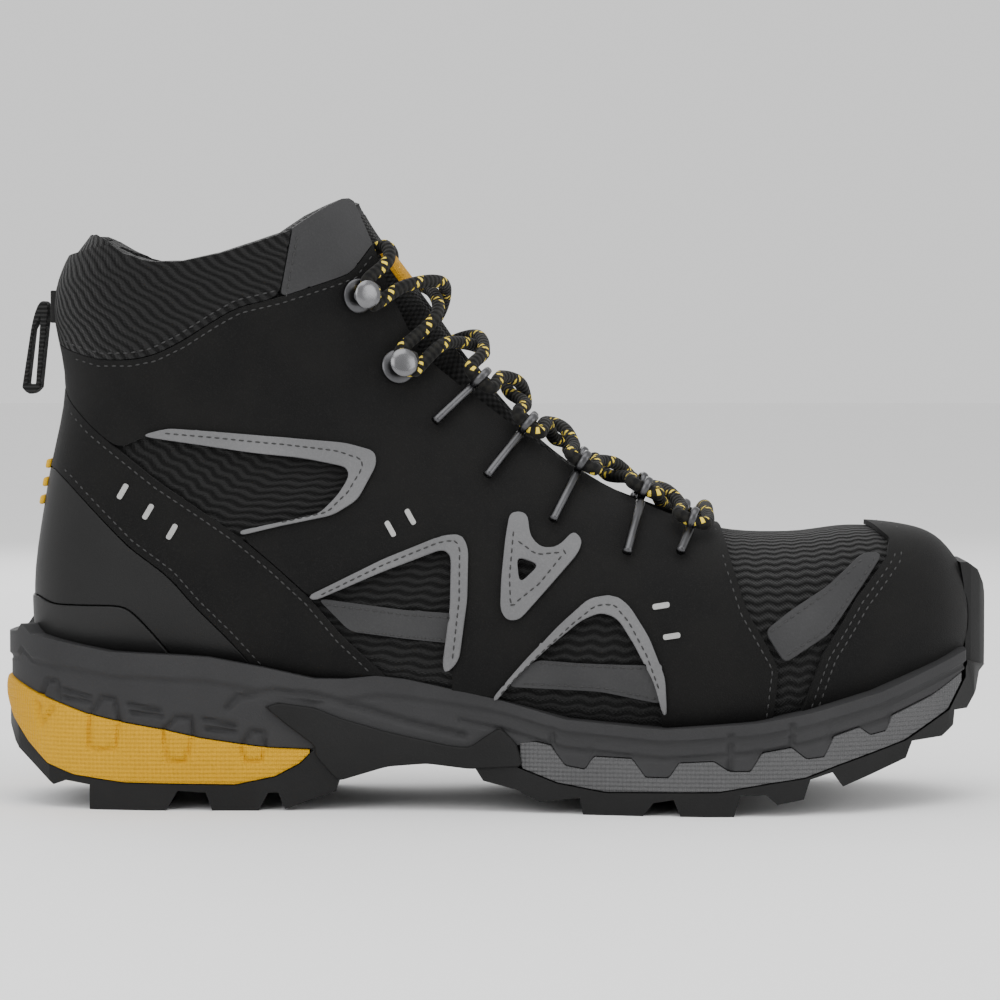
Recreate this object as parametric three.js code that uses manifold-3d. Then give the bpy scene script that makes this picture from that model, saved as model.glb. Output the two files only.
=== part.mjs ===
// A mid-height lace-up hiking boot for the right foot, in millimetres: +X to the toe, +Z up, and the outer
// side toward -Y.
// The upper is layers laid over one last. Side outlines are drawn from the heel (x) and the ground (z).
import * as THREE from "three";
import { mergeVertices } from "three/addons/utils/BufferGeometryUtils.js";
import Module from "manifold-3d";

const wasm = await Module();
wasm.setup();

// Driving sizes. The pattern is drawn for a boot of PATTERN size and graded to the sizes below.
const PATTERN = { length: 305, height: 185, width: 113 };
const BOOT_LENGTH = 305;
const BOOT_HEIGHT = 185;
const BOOT_WIDTH = 113;
const GAP = 0.3; // between pieces that touch
const SHELL = 1.8; // mesh shell under the overlays
const OVERLAY = 1.4; // leather and moulded overlays
const TRIM = 1.0; // grey window trims on the overlays
const STIFFENER = 1.5; // heel counter and toe cap
const LINING = 3.7; // foam-backed lining
const BOARD = 2.0; // lasting board
const FOOTBED = 4.5;
const THROAT = { base: 15, top: 18 }; // half widths of the lacing gap
const LACE = 4.0; // lace diameter
const LACE_POCKET = 7; // room between lining and tongue for the tucked ends
const TONGUE = { crown: 3.4, ridge: 0.42, pad: 9, wing: 3.6 };
const LABEL = { height: 13, thick: 1.0, at: 0.8, across: 0.26 }; // at and across are shares of the tongue
const RING = { hole: 2.8, wall: 1.1, wide: 2.4 };
const KEEPER_ROD = 1.45; // radius of a keeper's leg
const HOOK = { base: 5.2, baseThick: 1.0, neck: 1.5, cap: 4.4, capThick: 1.2 };
const AGLET = { radius: 1.7, length: 12 };
const INSERT_DEPTH = 10; // how far the forefoot side inserts reach into the sole
const GROOVE = { wide: 5, deep: 4, at: 15 }; // the tread's long grooves
const SHANK = { wide: 24, thick: 1.6, from: 62, to: 140, y: -2 };
const PULL = { wide: 11, eye: 1.8, standOff: 2.6 };
const BADGE_RIB = { wide: 15, thick: 1.8, high: 2.8, at: [91.5, 96.5, 101.5] };

const SHELL_IN = -SHELL;
const STIFF_OUT = SHELL_IN - GAP;
const STIFF_IN = STIFF_OUT - STIFFENER;
const LINING_IN = STIFF_OUT - LINING;
const BOARD_IN = LINING_IN - GAP - BOARD;
const FOOTBED_OUT = BOARD_IN - GAP;
const FOOTBED_IN = FOOTBED_OUT - FOOTBED;
const OVERLAY_OUT = GAP + OVERLAY;
const TRIM_IN = OVERLAY_OUT + GAP;
const TRIM_OUT = TRIM_IN + TRIM;
const TONGUE_WING = LINING_IN - LACE_POCKET;

const gradeX = (x) => (x * BOOT_LENGTH) / PATTERN.length;
const gradeZ = (z) => (z * BOOT_HEIGHT) / PATTERN.height;
const gradeY = (y) => (y * BOOT_WIDTH) / PATTERN.width;
const OUTER = -1; // the outer side's sign in y
const INNER = 1;
const SIDES = { lateral: OUTER, medial: INNER };

// The last, station by station from the toe to the collar: a point on the top line, its partner on the
// bottom line, half width, sideways shift, height of the widest place, squareness below and above it.
const STATIONS = [
  { top: [298.4, 58.5], low: [298.4, 56.5], half: 1, shift: 8, waist: 0.5, square: [2, 2] },
  { top: [297.6, 65], low: [297.6, 50.5], half: 8.5, shift: 8, waist: 0.48, square: [2.1, 2.1] },
  { top: [295, 71.8], low: [295.5, 44.5], half: 17, shift: 7.4, waist: 0.45, square: [2.4, 2.2] },
  { top: [288, 79.8], low: [289, 39], half: 27, shift: 6, waist: 0.42, square: [3, 2.3] },
  { top: [278, 83.2], low: [279, 34.5], half: 35, shift: 4.8, waist: 0.4, square: [3.6, 2.4] },
  { top: [262, 84.5], low: [263, 29.5], half: 43, shift: 3, waist: 0.38, square: [4.2, 2.4] },
  { top: [243, 82.6], low: [243, 25], half: 48.5, shift: 1.4, waist: 0.36, square: [4.5, 2.3] },
  { top: [221, 83.8], low: [220, 21.5], half: 51, shift: 0, waist: 0.36, square: [4.5, 2.2] },
  { top: [201, 91], low: [192, 21], half: 47.5, shift: -1.5, waist: 0.35, square: [4.5, 2.1] },
  { top: [181.5, 101.5], low: [158, 25.5], half: 42.5, shift: -3, waist: 0.34, square: [4.2, 2] },
  { top: [166, 113], low: [118, 33.5], half: 39.5, shift: -3, waist: 0.33, square: [4, 2] },
  { top: [153, 127], low: [77, 38], half: 37.5, shift: -2, waist: 0.32, square: [3.6, 2] },
  { top: [143, 139], low: [36, 41], half: 36.5, shift: -1.5, waist: 0.32, square: [3, 2] },
  { top: [137.5, 147], low: [14.5, 46.5], half: 36.5, shift: -1, waist: 0.33, square: [2.6, 2] },
  { top: [131, 156], low: [10.4, 66], half: 36.5, shift: -1, waist: 0.4, square: [2.4, 2] },
  { top: [124.5, 164.5], low: [14.4, 97], half: 37, shift: -1, waist: 0.45, square: [2.3, 2] },
  { top: [118.5, 172.5], low: [20, 127], half: 38.5, shift: -1, waist: 0.48, square: [2.3, 2.1] },
  { top: [113.5, 180], low: [16.8, 151], half: 40, shift: -1, waist: 0.5, square: [2.3, 2.2] },
  { top: [109.5, 188], low: [20, 165], half: 40.5, shift: -1, waist: 0.5, square: [2.3, 2.2] },
  { top: [106, 196], low: [27.5, 176], half: 40, shift: -1, waist: 0.5, square: [2.3, 2.2] },
  { top: [104, 206], low: [36, 192], half: 40, shift: -1, waist: 0.5, square: [2.3, 2.2] },
];
const LAST_END = STATIONS.length - 1;

// A value that runs smoothly through the stations, by a Catmull-Rom spline.
function along(pick, s) {
  const i = Math.min(Math.floor(s), LAST_END - 1);
  const at = (k) => pick(STATIONS[THREE.MathUtils.clamp(k, 0, LAST_END)]);
  const [p0, p1, p2, p3] = [at(i - 1), at(i), at(i + 1), at(i + 2)];
  const t = s - i;
  const v0 = (p2 - p0) / 2;
  const v1 = (p3 - p1) / 2;
  return p1 + t * (v0 + t * (3 * (p2 - p1) - 2 * v0 - v1 + t * (2 * (p1 - p2) + v0 + v1)));
}

function station(s) {
  return {
    top: new THREE.Vector2(gradeX(along((k) => k.top[0], s)), gradeZ(along((k) => k.top[1], s))),
    low: new THREE.Vector2(gradeX(along((k) => k.low[0], s)), gradeZ(along((k) => k.low[1], s))),
    half: gradeY(along((k) => k.half, s)),
    shift: gradeY(along((k) => k.shift, s)),
    waist: along((k) => k.waist, s),
    square: [along((k) => k.square[0], s), along((k) => k.square[1], s)],
  };
}

const signedPower = (v, p) => Math.sign(v) * Math.abs(v) ** p;

// A point of the bare last. turn is 0 on the outer side, a quarter turn at the top line, -a quarter below.
function lastPoint(s, turn) {
  const { top, low, half, shift, waist, square } = station(s);
  const power = 2 / square[Math.sin(turn) > 0 ? 1 : 0];
  const rise = signedPower(Math.sin(turn), power);
  const out = signedPower(Math.cos(turn), power);
  const share = waist + rise * (rise > 0 ? 1 - waist : waist);
  const side = low.clone().lerp(top, share);
  return new THREE.Vector3(side.x, shift + OUTER * half * out, side.y);
}

function lastNormal(s, turn) {
  const step = 0.02;
  const sAt = THREE.MathUtils.clamp(s, step, LAST_END - step);
  const ds = lastPoint(sAt + step, turn).sub(lastPoint(sAt - step, turn));
  const da = lastPoint(s, turn + step * 2).sub(lastPoint(s, turn - step * 2));
  return da.cross(ds).normalize();
}

// A point at a distance outside the last.
function skin(s, turn, out) {
  return lastPoint(s, turn).addScaledVector(lastNormal(s, turn), out);
}

// The station and turn of a place on the outer side that the side outlines call (x, z).
function locate(x, z) {
  const place = new THREE.Vector2(gradeX(x), gradeZ(z));
  const offLine = (s) => {
    const { top, low } = station(s);
    return top.clone().sub(low).cross(place.clone().sub(low));
  };
  let [from, to] = [1, LAST_END];
  for (let i = 0; i < 40; i++) {
    const middle = (from + to) / 2;
    if (offLine(middle) > 0) from = middle;
    else to = middle;
  }
  const { top, low, waist, square } = station(from);
  const line = top.clone().sub(low);
  const share = place.clone().sub(low).dot(line) / line.lengthSq();
  const rise = share > waist ? (share - waist) / (1 - waist) : (share - waist) / waist;
  const power = square[rise > 0 ? 1 : 0] / 2;
  return { s: from, turn: Math.asin(signedPower(THREE.MathUtils.clamp(rise, -1, 1), power)) };
}

// The same place on either side of the boot.
function onSide(x, z, side, out) {
  const { s, turn } = locate(x, z);
  return skin(s, side === OUTER ? turn : Math.PI - turn, out);
}

// ---- Solids ----

function solidOf(geometry) {
  const bare = geometry.index ? geometry.toNonIndexed() : geometry.clone();
  for (const name of Object.keys(bare.attributes)) {
    if (name !== "position") bare.deleteAttribute(name);
  }
  const merged = mergeVertices(bare, 1e-4);
  return new wasm.Manifold(
    new wasm.Mesh({
      numProp: 3,
      vertProperties: merged.attributes.position.array,
      triVerts: new Uint32Array(merged.index.array),
    }),
  );
}

function geometryOf(solid) {
  const mesh = solid.getMesh();
  const geometry = new THREE.BufferGeometry();
  geometry.setAttribute("position", new THREE.BufferAttribute(mesh.vertProperties, 3));
  geometry.setIndex(new THREE.BufferAttribute(mesh.triVerts, 1));
  return geometry;
}

// A closed solid through rings of points, with both ends capped.
function loft(rings) {
  const around = rings[0].length;
  const points = rings.flat();
  const faces = [];
  for (let r = 0; r + 1 < rings.length; r++) {
    for (let k = 0; k < around; k++) {
      const a = r * around + k;
      const b = r * around + ((k + 1) % around);
      faces.push(a, b, b + around, a, b + around, a + around);
    }
  }
  const cap = (first, flip) => {
    const centre = new THREE.Vector3();
    for (let k = 0; k < around; k++) centre.addScaledVector(points[first + k], 1 / around);
    points.push(centre);
    for (let k = 0; k < around; k++) {
      const pair = [first + k, first + ((k + 1) % around)];
      faces.push(...(flip ? pair.reverse() : pair), points.length - 1);
    }
  };
  const lastRing = (rings.length - 1) * around;
  cap(0, true);
  cap(lastRing, false);
  const geometry = new THREE.BufferGeometry().setFromPoints(points);
  geometry.setIndex(faces);
  const solid = solidOf(geometry);
  if (solid.volume() > 0) return solid;
  const turned = [];
  for (let i = 0; i < faces.length; i += 3) turned.push(faces[i], faces[i + 2], faces[i + 1]);
  geometry.setIndex(turned);
  return solidOf(geometry);
}

// A route through given points, one step for each.
class Route extends THREE.Curve {
  constructor(points) {
    super();
    this.points = points;
  }
  getPoint(t) {
    const place = t * (this.points.length - 1);
    const i = Math.min(Math.floor(place), this.points.length - 2);
    return this.points[i].clone().lerp(this.points[i + 1], place - i);
  }
  getPointAt(t) {
    return this.getPoint(t);
  }
  getTangentAt(t) {
    const step = 1 / (this.points.length - 1);
    const [before, after] = [Math.max(0, t - step), Math.min(1, t + step)];
    return this.getPoint(after).sub(this.getPoint(before)).normalize();
  }
}
const tube = (points, radius, sides) => {
  const section = new THREE.Shape();
  section.absarc(0, 0, radius, 0, 2 * Math.PI);
  const flat = new THREE.Shape(section.getSpacedPoints(sides).slice(0, -1));
  return solidOf(new THREE.ExtrudeGeometry(flat, { steps: points.length - 1, extrudePath: new Route(points) }));
};

// The last grown by a distance, as one solid.
const AROUND = 18;
const RING_STEPS = [0, 0.5, 1, 1.7, 2.5, 3.6, 5, 6.4, 7.8, 9.2, 10.6, 11.9, 12.8, 13.5, 14.5, 16, 17.5, 20];
const grownLasts = new Map();
function grownLast(out) {
  if (!grownLasts.has(out)) {
    const rings = RING_STEPS.map((s) =>
      Array.from({ length: AROUND }, (_, k) => skin(s, (k / AROUND) * 2 * Math.PI, out)),
    );
    grownLasts.set(out, loft(rings));
  }
  return grownLasts.get(out);
}
const layer = (inner, outer) => grownLast(outer).subtract(grownLast(inner));

// A side outline with its corners rounded.
function rounded(points, radius) {
  const graded = points.map(([x, z]) => new THREE.Vector2(gradeX(x), gradeZ(z)));
  const shape = new THREE.Shape();
  graded.forEach((corner, i) => {
    const before = graded[(i + graded.length - 1) % graded.length];
    const after = graded[(i + 1) % graded.length];
    const cut = (other) => {
      const reach = Math.min(radius, corner.distanceTo(other) * 0.45);
      return corner.clone().lerp(other, reach / Math.max(corner.distanceTo(other), 1e-6));
    };
    const [start, end] = [cut(before), cut(after)];
    if (i === 0) shape.moveTo(start.x, start.y);
    else shape.lineTo(start.x, start.y);
    if (radius > 0) shape.quadraticCurveTo(corner.x, corner.y, end.x, end.y);
  });
  shape.closePath();
  return shape;
}

const WIDE = 90; // past every side of the boot
const EXTRUDE_LINES = { bevelEnabled: false, curveSegments: 2 };

// A side outline extruded across the boot, between two places in y.
function across(points, radius = 0, [from, to] = [-WIDE, WIDE]) {
  const geometry = new THREE.ExtrudeGeometry(rounded(points, radius), { depth: to - from, ...EXTRUDE_LINES });
  return solidOf(geometry.rotateX(Math.PI / 2).translate(0, to, 0));
}
const halfOf = (side) => (side === OUTER ? [-WIDE, -GAP / 2] : [GAP / 2, WIDE]);

// ---- Side outlines shared by neighbouring pieces ----

const FEATHER = [
  [-5, 49], [11.5, 49], [35, 48], [57, 47], [65, 46.5], [81, 43.5], [97, 40], [106.5, 40], [115.5, 41],
  [124.5, 40], [153, 34], [172.5, 28.5], [202, 26], [230.5, 28], [247, 31], [268.5, 36.5], [284.5, 42.5],
  [297.5, 47.5], [320, 57],
];
const TOPLINE = [
  [10, 174.5], [30, 174.5], [33, 173], [40, 168.5], [47.5, 166], [57, 166], [69, 168.5], [80, 172],
  [88.5, 175], [97, 181], [104, 185], [107, 185], [113, 178.5], [125, 172],
];
const STRAP_TOP = [
  [5, 132.5], [18.5, 132.5], [21.5, 124.5], [30, 115.5], [50, 99.5], [61, 92], [74, 83], [85, 74],
  [96, 64], [105.5, 53], [119, 41], [128, 20],
];
const STRAP_LOW = [
  [5, 103.5], [17, 103.5], [22, 99.5], [41, 80], [53, 71], [61, 62], [71.5, 52], [79, 44], [92, 20],
];
const CUP_TOP = [[0, 64], [12.5, 64], [17.5, 61.5], [37, 62], [41, 61], [47, 55], [53.5, 47.5], [70, 20]];
const COLLAR_LOW = [
  [5, 147], [14, 144.5], [22.5, 139.5], [32.5, 136.5], [42, 136.5], [49, 138], [57, 142], [67, 148.5],
  [74, 152.5], [86, 155.5],
];
const COLLAR_FRONT_LOW = [[86, 155.5], [102.5, 161], [107, 162.8], [112, 170], [122, 182]];
const COLLAR_SEAM = [[86, 155.5], [89.5, 175], [91, 200]];
const GUARD_EDGE = [
  [238, 18], [243.5, 31], [250, 48], [260.5, 64], [271, 76], [272, 80.5], [268, 84], [262, 88],
  [258, 100],
];

// A line moved to the left of the way it runs.
function beside(line, gap) {
  const points = line.map(([x, z]) => new THREE.Vector2(x, z));
  const way = (i) => points[i + 1].clone().sub(points[i]).normalize();
  return points.map((point, i) => {
    const before = way(Math.max(i - 1, 0));
    const after = way(Math.min(i, points.length - 2));
    const left = new THREE.Vector2(-before.y - after.y, before.x + after.x).normalize();
    const reach = gap / Math.max(left.dot(new THREE.Vector2(-before.y, before.x)), 0.4);
    return [point.x + left.x * reach, point.y + left.y * reach];
  });
}
const lifted = (line, dz) => line.map(([x, z]) => [x, z + dz]);
const SKY = 230;
const DEEP = -20;

const belowFeather = across([[-20, DEEP], ...beside(FEATHER, GAP), [330, DEEP]]);
const aboveTopline = across([[-20, SKY], [-20, 174.5], ...TOPLINE, [160, 172], [160, SKY]]);

// The lacing gap: a wedge that runs up the instep, cut square to the top line.
function throat(extra) {
  const base = new THREE.Vector3(gradeX(214), 0, gradeZ(86));
  const top = new THREE.Vector3(gradeX(100), 0, gradeZ(200));
  const up = top.clone().sub(base);
  const reach = 60;
  const shape = new THREE.Shape();
  const bottom = THROAT.base + extra;
  const upper = THROAT.top + extra;
  shape.moveTo(-bottom * 0.6, -extra - 4);
  shape.lineTo(bottom * 0.6, -extra - 4);
  shape.lineTo(bottom, bottom * 0.5);
  shape.lineTo(upper, up.length());
  shape.lineTo(-upper, up.length());
  shape.lineTo(-bottom, bottom * 0.5);
  const geometry = new THREE.ExtrudeGeometry(shape, { depth: reach * 2, ...EXTRUDE_LINES });
  geometry.translate(0, 0, -reach);
  const axisY = up.clone().normalize();
  const axisX = new THREE.Vector3(0, 1, 0);
  const basis = new THREE.Matrix4().makeBasis(axisX, axisY, axisX.clone().cross(axisY));
  const shift = gradeY(-1.5);
  return solidOf(geometry.applyMatrix4(basis.setPosition(base.x, shift, base.z)));
}
const throatGap = throat(0);
const openUpper = (solid) => solid.subtract(throatGap).subtract(aboveTopline);

// ---- Finishes ----

const finish = (colour, roughness, metalness = 0) =>
  new THREE.MeshStandardMaterial({ color: colour, roughness, metalness });
const MATERIALS = {
  mesh: finish(0x17181a, 0.9),
  nubuck: finish(0x1b1b1b, 0.8),
  darkGrey: finish(0x3a3a3b, 0.75),
  grey: finish(0x77777a, 0.6),
  moulded: finish(0x2a2a29, 0.55),
  midsole: finish(0x434343, 0.7),
  insert: finish(0x626263, 0.65),
  yellow: finish(0xb98f2b, 0.6),
  rubber: finish(0x202021, 0.65),
  lining: finish(0x2b2b2c, 0.95),
  board: finish(0x8a8578, 0.9),
  steel: finish(0x9a9ca0, 0.35, 0.9),
  gunmetal: finish(0x4c4d50, 0.4, 0.7),
  lace: finish(0x1c1d18, 0.85),
};

const boot = new THREE.Group();
function add(name, solid, material) {
  const mesh = new THREE.Mesh(geometryOf(solid), MATERIALS[material]);
  mesh.name = name;
  boot.add(mesh);
  return solid;
}

// ---- Sole ----

// The sole's plan: outer side first, then the inner side back to the heel.
const PLAN = [
  [0.6, -1], [6, -19], [20, -33], [45, -39.5], [80, -40], [115, -40.5], [150, -44], [185, -52],
  [215, -57], [245, -54.5], [270, -43.5], [290, -26], [301, -9], [305, 8], [301, 22], [287, 40],
  [262, 52], [232, 56], [205, 52.5], [175, 43.5], [140, 35.5], [105, 34.5], [70, 37], [42, 37.5],
  [19, 31], [6, 17],
];
const PLAN_STEPS = 42;
function plan(inset) {
  const curve = new THREE.CatmullRomCurve3(
    PLAN.map(([x, y]) => new THREE.Vector3(gradeX(x), gradeY(y), 0)),
    true,
  );
  const points = [];
  for (let k = 0; k < PLAN_STEPS; k++) {
    const tangent = curve.getTangentAt(k / PLAN_STEPS);
    const point = curve.getPointAt(k / PLAN_STEPS);
    points.push(new THREE.Vector2(point.x - tangent.y * inset, point.y + tangent.x * inset));
  }
  const geometry = new THREE.ExtrudeGeometry(new THREE.Shape(points), { depth: 2 * WIDE, ...EXTRUDE_LINES });
  return solidOf(geometry.translate(0, 0, -WIDE / 2));
}
const wholePlan = plan(0);

const CUSHION_TOP = [
  [1, 38.5], [12.5, 34], [27.5, 29], [39, 26.5], [51, 24.5], [62, 22], [75, 20], [83, 19], [96, 18.5],
];
const CUSHION_LOW = [
  [92.5, 14.5], [85, 10.5], [73, 8], [39, 8.5], [23.5, 10.5], [15, 13.5], [8.5, 19.5], [3.5, 25.5],
  [0.5, 31.5],
];
const ARCH_RIDGE = [
  [97.2, 19.6], [88, 26.5], [82, 31.5], [86, 32.8], [97, 31.3], [105, 28], [119, 24], [137.5, 20],
  [144, 19.5], [148, 22.5], [153, 25.8], [158, 21],
];
const TEETH = [
  [163.5, 21.5], [168, 20.5], [172.5, 14.5], [178.5, 13.5], [181, 17.5], [192.5, 17], [196.5, 11.5],
  [203.5, 11.5], [206.5, 16], [217, 16.5], [221.5, 13.5], [228, 13.5], [231.5, 19], [240.5, 20.5],
  [245, 17], [250.5, 17.5], [253.5, 23.5], [261.5, 26], [265, 23.5], [270, 24.5], [272, 29], [285, 34],
  [296, 40.5],
];
const INSERT_LOW = [
  [295.5, 38.5], [290.5, 29.5], [276, 21.5], [254.5, 15], [244.5, 11.5], [233.5, 10], [218.5, 7.5],
  [184.5, 7], [170, 9.5], [159.5, 13.5], [158.5, 17.5],
];
// The tread's side profile from heel to toe: each lug's corners, flat feet on the ground.
const TREAD = [
  [0, 31], [0, 24], [3, 18.5], [17, 7], [21, 8.5], [28.5, 7.5], [28.5, 0], [52, 0], [55.5, 6], [64, 5.5],
  [66, 0], [80, 0], [83, 5.5], [86, 5.5], [88, 0.5], [103.5, 6], [104.5, 11], [119, 15.5], [131.5, 16.5],
  [144.5, 15], [148, 9.5], [158, 7], [165, 3.5], [173, 4.5], [177, 5], [178, 0], [196, 0], [199, 4],
  [205, 5], [207, 0], [223, 0], [225, 6.5], [232.5, 6.5], [236, 3.5], [244, 5], [246, 11], [253, 13],
  [256, 8.5], [276, 16], [278, 21], [288, 21.5], [292, 24.5], [292.5, 29], [297, 29], [300.5, 34],
  [302, 39.5],
];
const BUMPER = [[304.6, 41], [305.6, 50], [305.2, 59], [303.8, 66.5], [301.6, 71], [298, 73.5], [290, 74]];

// The line that parts the midsole above from the cushion, the outsole and the inserts below.
const TOE_REST = [[297, 42.5], [297.3, 48.5], [297.2, 57], [296.8, 66], [295.5, 73.5]];
const SPLIT = [[-5, 40], ...CUSHION_TOP, ...ARCH_RIDGE, ...TEETH, ...TOE_REST];
const belowSplit = across([...SPLIT, [340, 73.5], [340, DEEP], [-5, DEEP]]);
const aboveSplit = across([...beside(SPLIT, GAP), [295.2, 90], [-5, 90]]);
const insertSide = across([...TEETH, ...INSERT_LOW]);
const cushionSide = across([...CUSHION_TOP, ...CUSHION_LOW]);
const insertRoom = across([
  [157.8, 60], [296.8, 60], [296.5, 38.5], ...beside(INSERT_LOW.slice(1, -1), GAP), [157.8, 14],
]);
const cushionRoom = across([[-5, 42], ...CUSHION_TOP, [96.6, 18.4], ...beside(CUSHION_LOW, GAP), [-5, 31]]);

const groove = (y) => {
  const cut = new THREE.BoxGeometry(gradeX(320), GROOVE.wide, GROOVE.deep * 2);
  return solidOf(cut.translate(gradeX(140), gradeY(y), 0));
};
const overlaid = grownLast(OVERLAY_OUT + GAP);
const treadSide = across([...TREAD, [304.6, 41], [290, 46], [-5, 90]]);
// The bumper stands up in front of the toe guard and thins out to its sides.
const BUMPER_ROUND = { radius: 20, x: 285, y: 8 };
const bumperRound = new THREE.CylinderGeometry(BUMPER_ROUND.radius, BUMPER_ROUND.radius, WIDE, 24)
  .rotateX(Math.PI / 2);
const bumper = across([[280, 30], ...BUMPER]).intersect(
  solidOf(bumperRound.translate(gradeX(BUMPER_ROUND.x), gradeY(BUMPER_ROUND.y), WIDE / 2)),
);
add(
  "outsole",
  treadSide.intersect(wholePlan).add(bumper).intersect(belowSplit).subtract(cushionRoom).subtract(insertRoom)
    .subtract(overlaid).subtract(groove(-GROOVE.at)).subtract(groove(GROOVE.at)),
  "rubber",
);

add("heel_cushion", cushionSide.intersect(wholePlan), "yellow");

const ring = insertSide.intersect(wholePlan).subtract(plan(INSERT_DEPTH));
const toeMiddle = gradeY(BUMPER_ROUND.y);
const insertHalf = (side) => {
  const span = side === OUTER ? [-WIDE, toeMiddle - GAP] : [toeMiddle + GAP, WIDE];
  return across([[150, DEEP], [297, DEEP], [297, SKY], [150, SKY]], 0, span);
};
for (const [name, side] of Object.entries(SIDES)) {
  add("forefoot_insert_" + name, ring.intersect(insertHalf(side)), "insert");
}

const SHANK_LINE = [[SHANK.from, 37.5], [100, 33.4], [SHANK.to, 28]];
const shankSpan = (extra) => [-1, 1].map((end) => gradeY(SHANK.y) + end * (SHANK.wide / 2 + extra));
const shank = across([...SHANK_LINE, ...beside(SHANK_LINE, -SHANK.thick).reverse()], 0, shankSpan(0));
const pocketLine = beside(SHANK_LINE, -SHANK.thick - GAP);
const shankPocket = across(
  [[SHANK.from - GAP, 60], ...pocketLine.map(([x, z], i) => [x + (i - 1) * GAP, z]), [SHANK.to + GAP, 60]],
  0,
  shankSpan(GAP),
);
const HEEL_LIP = [[-5, 51], [4.5, 53], [6, 55.5], [9.5, 52.5]];
const midsoleSide = across([...FEATHER.slice(2, -1), [297.5, DEEP], [-5, DEEP], ...HEEL_LIP]);
const midsoleCore = insertRoom.intersect(plan(INSERT_DEPTH + GAP))
  .intersect(across([...lifted(TEETH, 3), ...INSERT_LOW]));
add(
  "midsole",
  midsoleSide.intersect(aboveSplit).intersect(wholePlan).add(midsoleCore).subtract(grownLast(GAP))
    .subtract(overlaid.subtract(belowFeather)).subtract(shankPocket),
  "midsole",
);
add("shank", shank.subtract(grownLast(GAP)), "steel");

// ---- Upper, from the foot outwards ----

const COUNTER = [[-5, 48], [62, 44], [76, 52], [70, 70], [48, 92], [30, 103], [-5, 106]];
const CAP = [[254, 46], [262, 66], [274, 96], [320, 96], [320, 46]];
const pocketed = (outline) => layer(STIFF_IN - GAP, 0).intersect(across(outline));
const grow = (outline, centre, by) =>
  outline.map(([x, z]) => [x + Math.sign(x - centre[0]) * by, z + Math.sign(z - centre[1]) * by]);
const stiffener = layer(STIFF_IN, STIFF_OUT);
add("heel_counter", stiffener.intersect(across(COUNTER)), "board");
add("toe_cap", stiffener.intersect(across(CAP)), "steel");

const liningLayer = layer(LINING_IN, STIFF_OUT)
  .subtract(pocketed(grow(COUNTER, [30, 75], GAP)))
  .subtract(pocketed(grow(CAP, [290, 70], GAP)));
add("lining", openUpper(liningLayer), "lining");
add("upper_shell", openUpper(layer(SHELL_IN, 0)), "mesh");

const boardZone = across([[-5, 40], [12, 52], [80, 47], [118, 43], [160, 35], [200, 31], [240, 35], [265, 40], [288, 49],
  [310, 60], [310, DEEP], [-5, DEEP]]);
const footbedZone = across([[-5, 61], [40, 60], [80, 55], [118, 51], [160, 43], [200, 40], [240, 42], [265, 46],
  [284, 52], [310, 60], [310, DEEP], [-5, DEEP]]);
add("lasting_board", layer(BOARD_IN, LINING_IN - GAP).intersect(boardZone), "board");
add("footbed", layer(FOOTBED_IN, FOOTBED_OUT).intersect(footbedZone), "darkGrey");

const overlay = openUpper(layer(GAP, OVERLAY_OUT)).subtract(belowFeather);
const piece = (outline, radius = 0, span) => overlay.intersect(across(outline, radius, span));

add("heel_strap", piece([...STRAP_TOP, ...STRAP_LOW.slice().reverse()]), "nubuck");
add(
  "heel_panel",
  piece([...beside(STRAP_LOW, -GAP), ...beside(CUP_TOP, GAP).reverse()]),
  "moulded",
);
add("heel_cup", piece([...CUP_TOP, [-5, 20]]), "moulded");
add(
  "collar_mesh",
  piece([...COLLAR_LOW, ...COLLAR_SEAM.slice(1), [60, 200], [-5, 200]]),
  "mesh",
);
add("toe_guard", piece([...GUARD_EDGE, [330, 100], [330, 18]]), "nubuck");

// The windows in the quarters, open to the heel strap or to the sole.
const REAR_WINDOW = [
  [44, 112.5], [53, 114.5], [66, 113], [85, 111], [100, 108.5], [111, 106], [112, 103.5], [108.5, 98],
  [101, 90.5], [86, 87.5], [74.5, 83.5], [60, 80], [30, 105],
];
const MID_WINDOW = [
  [97, 64.5], [118, 74.3], [134.5, 80.3], [139.5, 81], [141.3, 78], [140.7, 62], [139.2, 45.5], [136, 30],
  [100, 30], [90, 60],
];
const FRONT_WINDOW = [
  [152, 36], [165.5, 49.3], [174.5, 57.5], [182, 62.3], [187, 62.6], [190.5, 60], [196, 52], [200.8, 41],
  [203, 22], [145, 22],
];
const WING_HOLE = [[158, 76.5], [165, 74], [159, 68.5]];
const QUARTER = [
  ...beside(COLLAR_FRONT_LOW, -GAP), [240, 110], [220, 87], [223, 73.5], [227, 60.5], [236.5, 44], [233.5, 20],
  ...beside(STRAP_TOP, GAP).reverse(), ...beside(COLLAR_LOW, -GAP),
];
const MID_BAND = [[98, 64.4], [124, 61], [140, 60], [139.3, 51], [124, 52.5], [108, 54.5]];
const FRONT_BAND = [
  [163.7, 46.3], [177.5, 45.3], [190, 45], [198.5, 45], [201.2, 37], [201.6, 33.5], [183.5, 37],
  [155.5, 38.4],
];
const VAMP_STRIP = [
  [232.2, 54.8], [240, 60.5], [252, 67.5], [263, 76.5], [269.5, 76.4], [259.9, 64.5], [252, 54],
  [238.8, 45.8], [237.4, 46.6],
];
const REAR_TRIM = [
  [46, 113.8], [53, 115.8], [67, 114.8], [87, 113], [106.5, 110.5], [115, 108], [115.6, 104], [110, 93.5],
  [102.5, 89], [87, 86], [75, 83.2], [74.3, 84.6], [98.5, 89.5], [104, 95], [107.4, 100.5],
  [106.5, 103.4], [92, 106.5], [77, 108.5], [61, 111], [47, 113],
];
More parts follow.
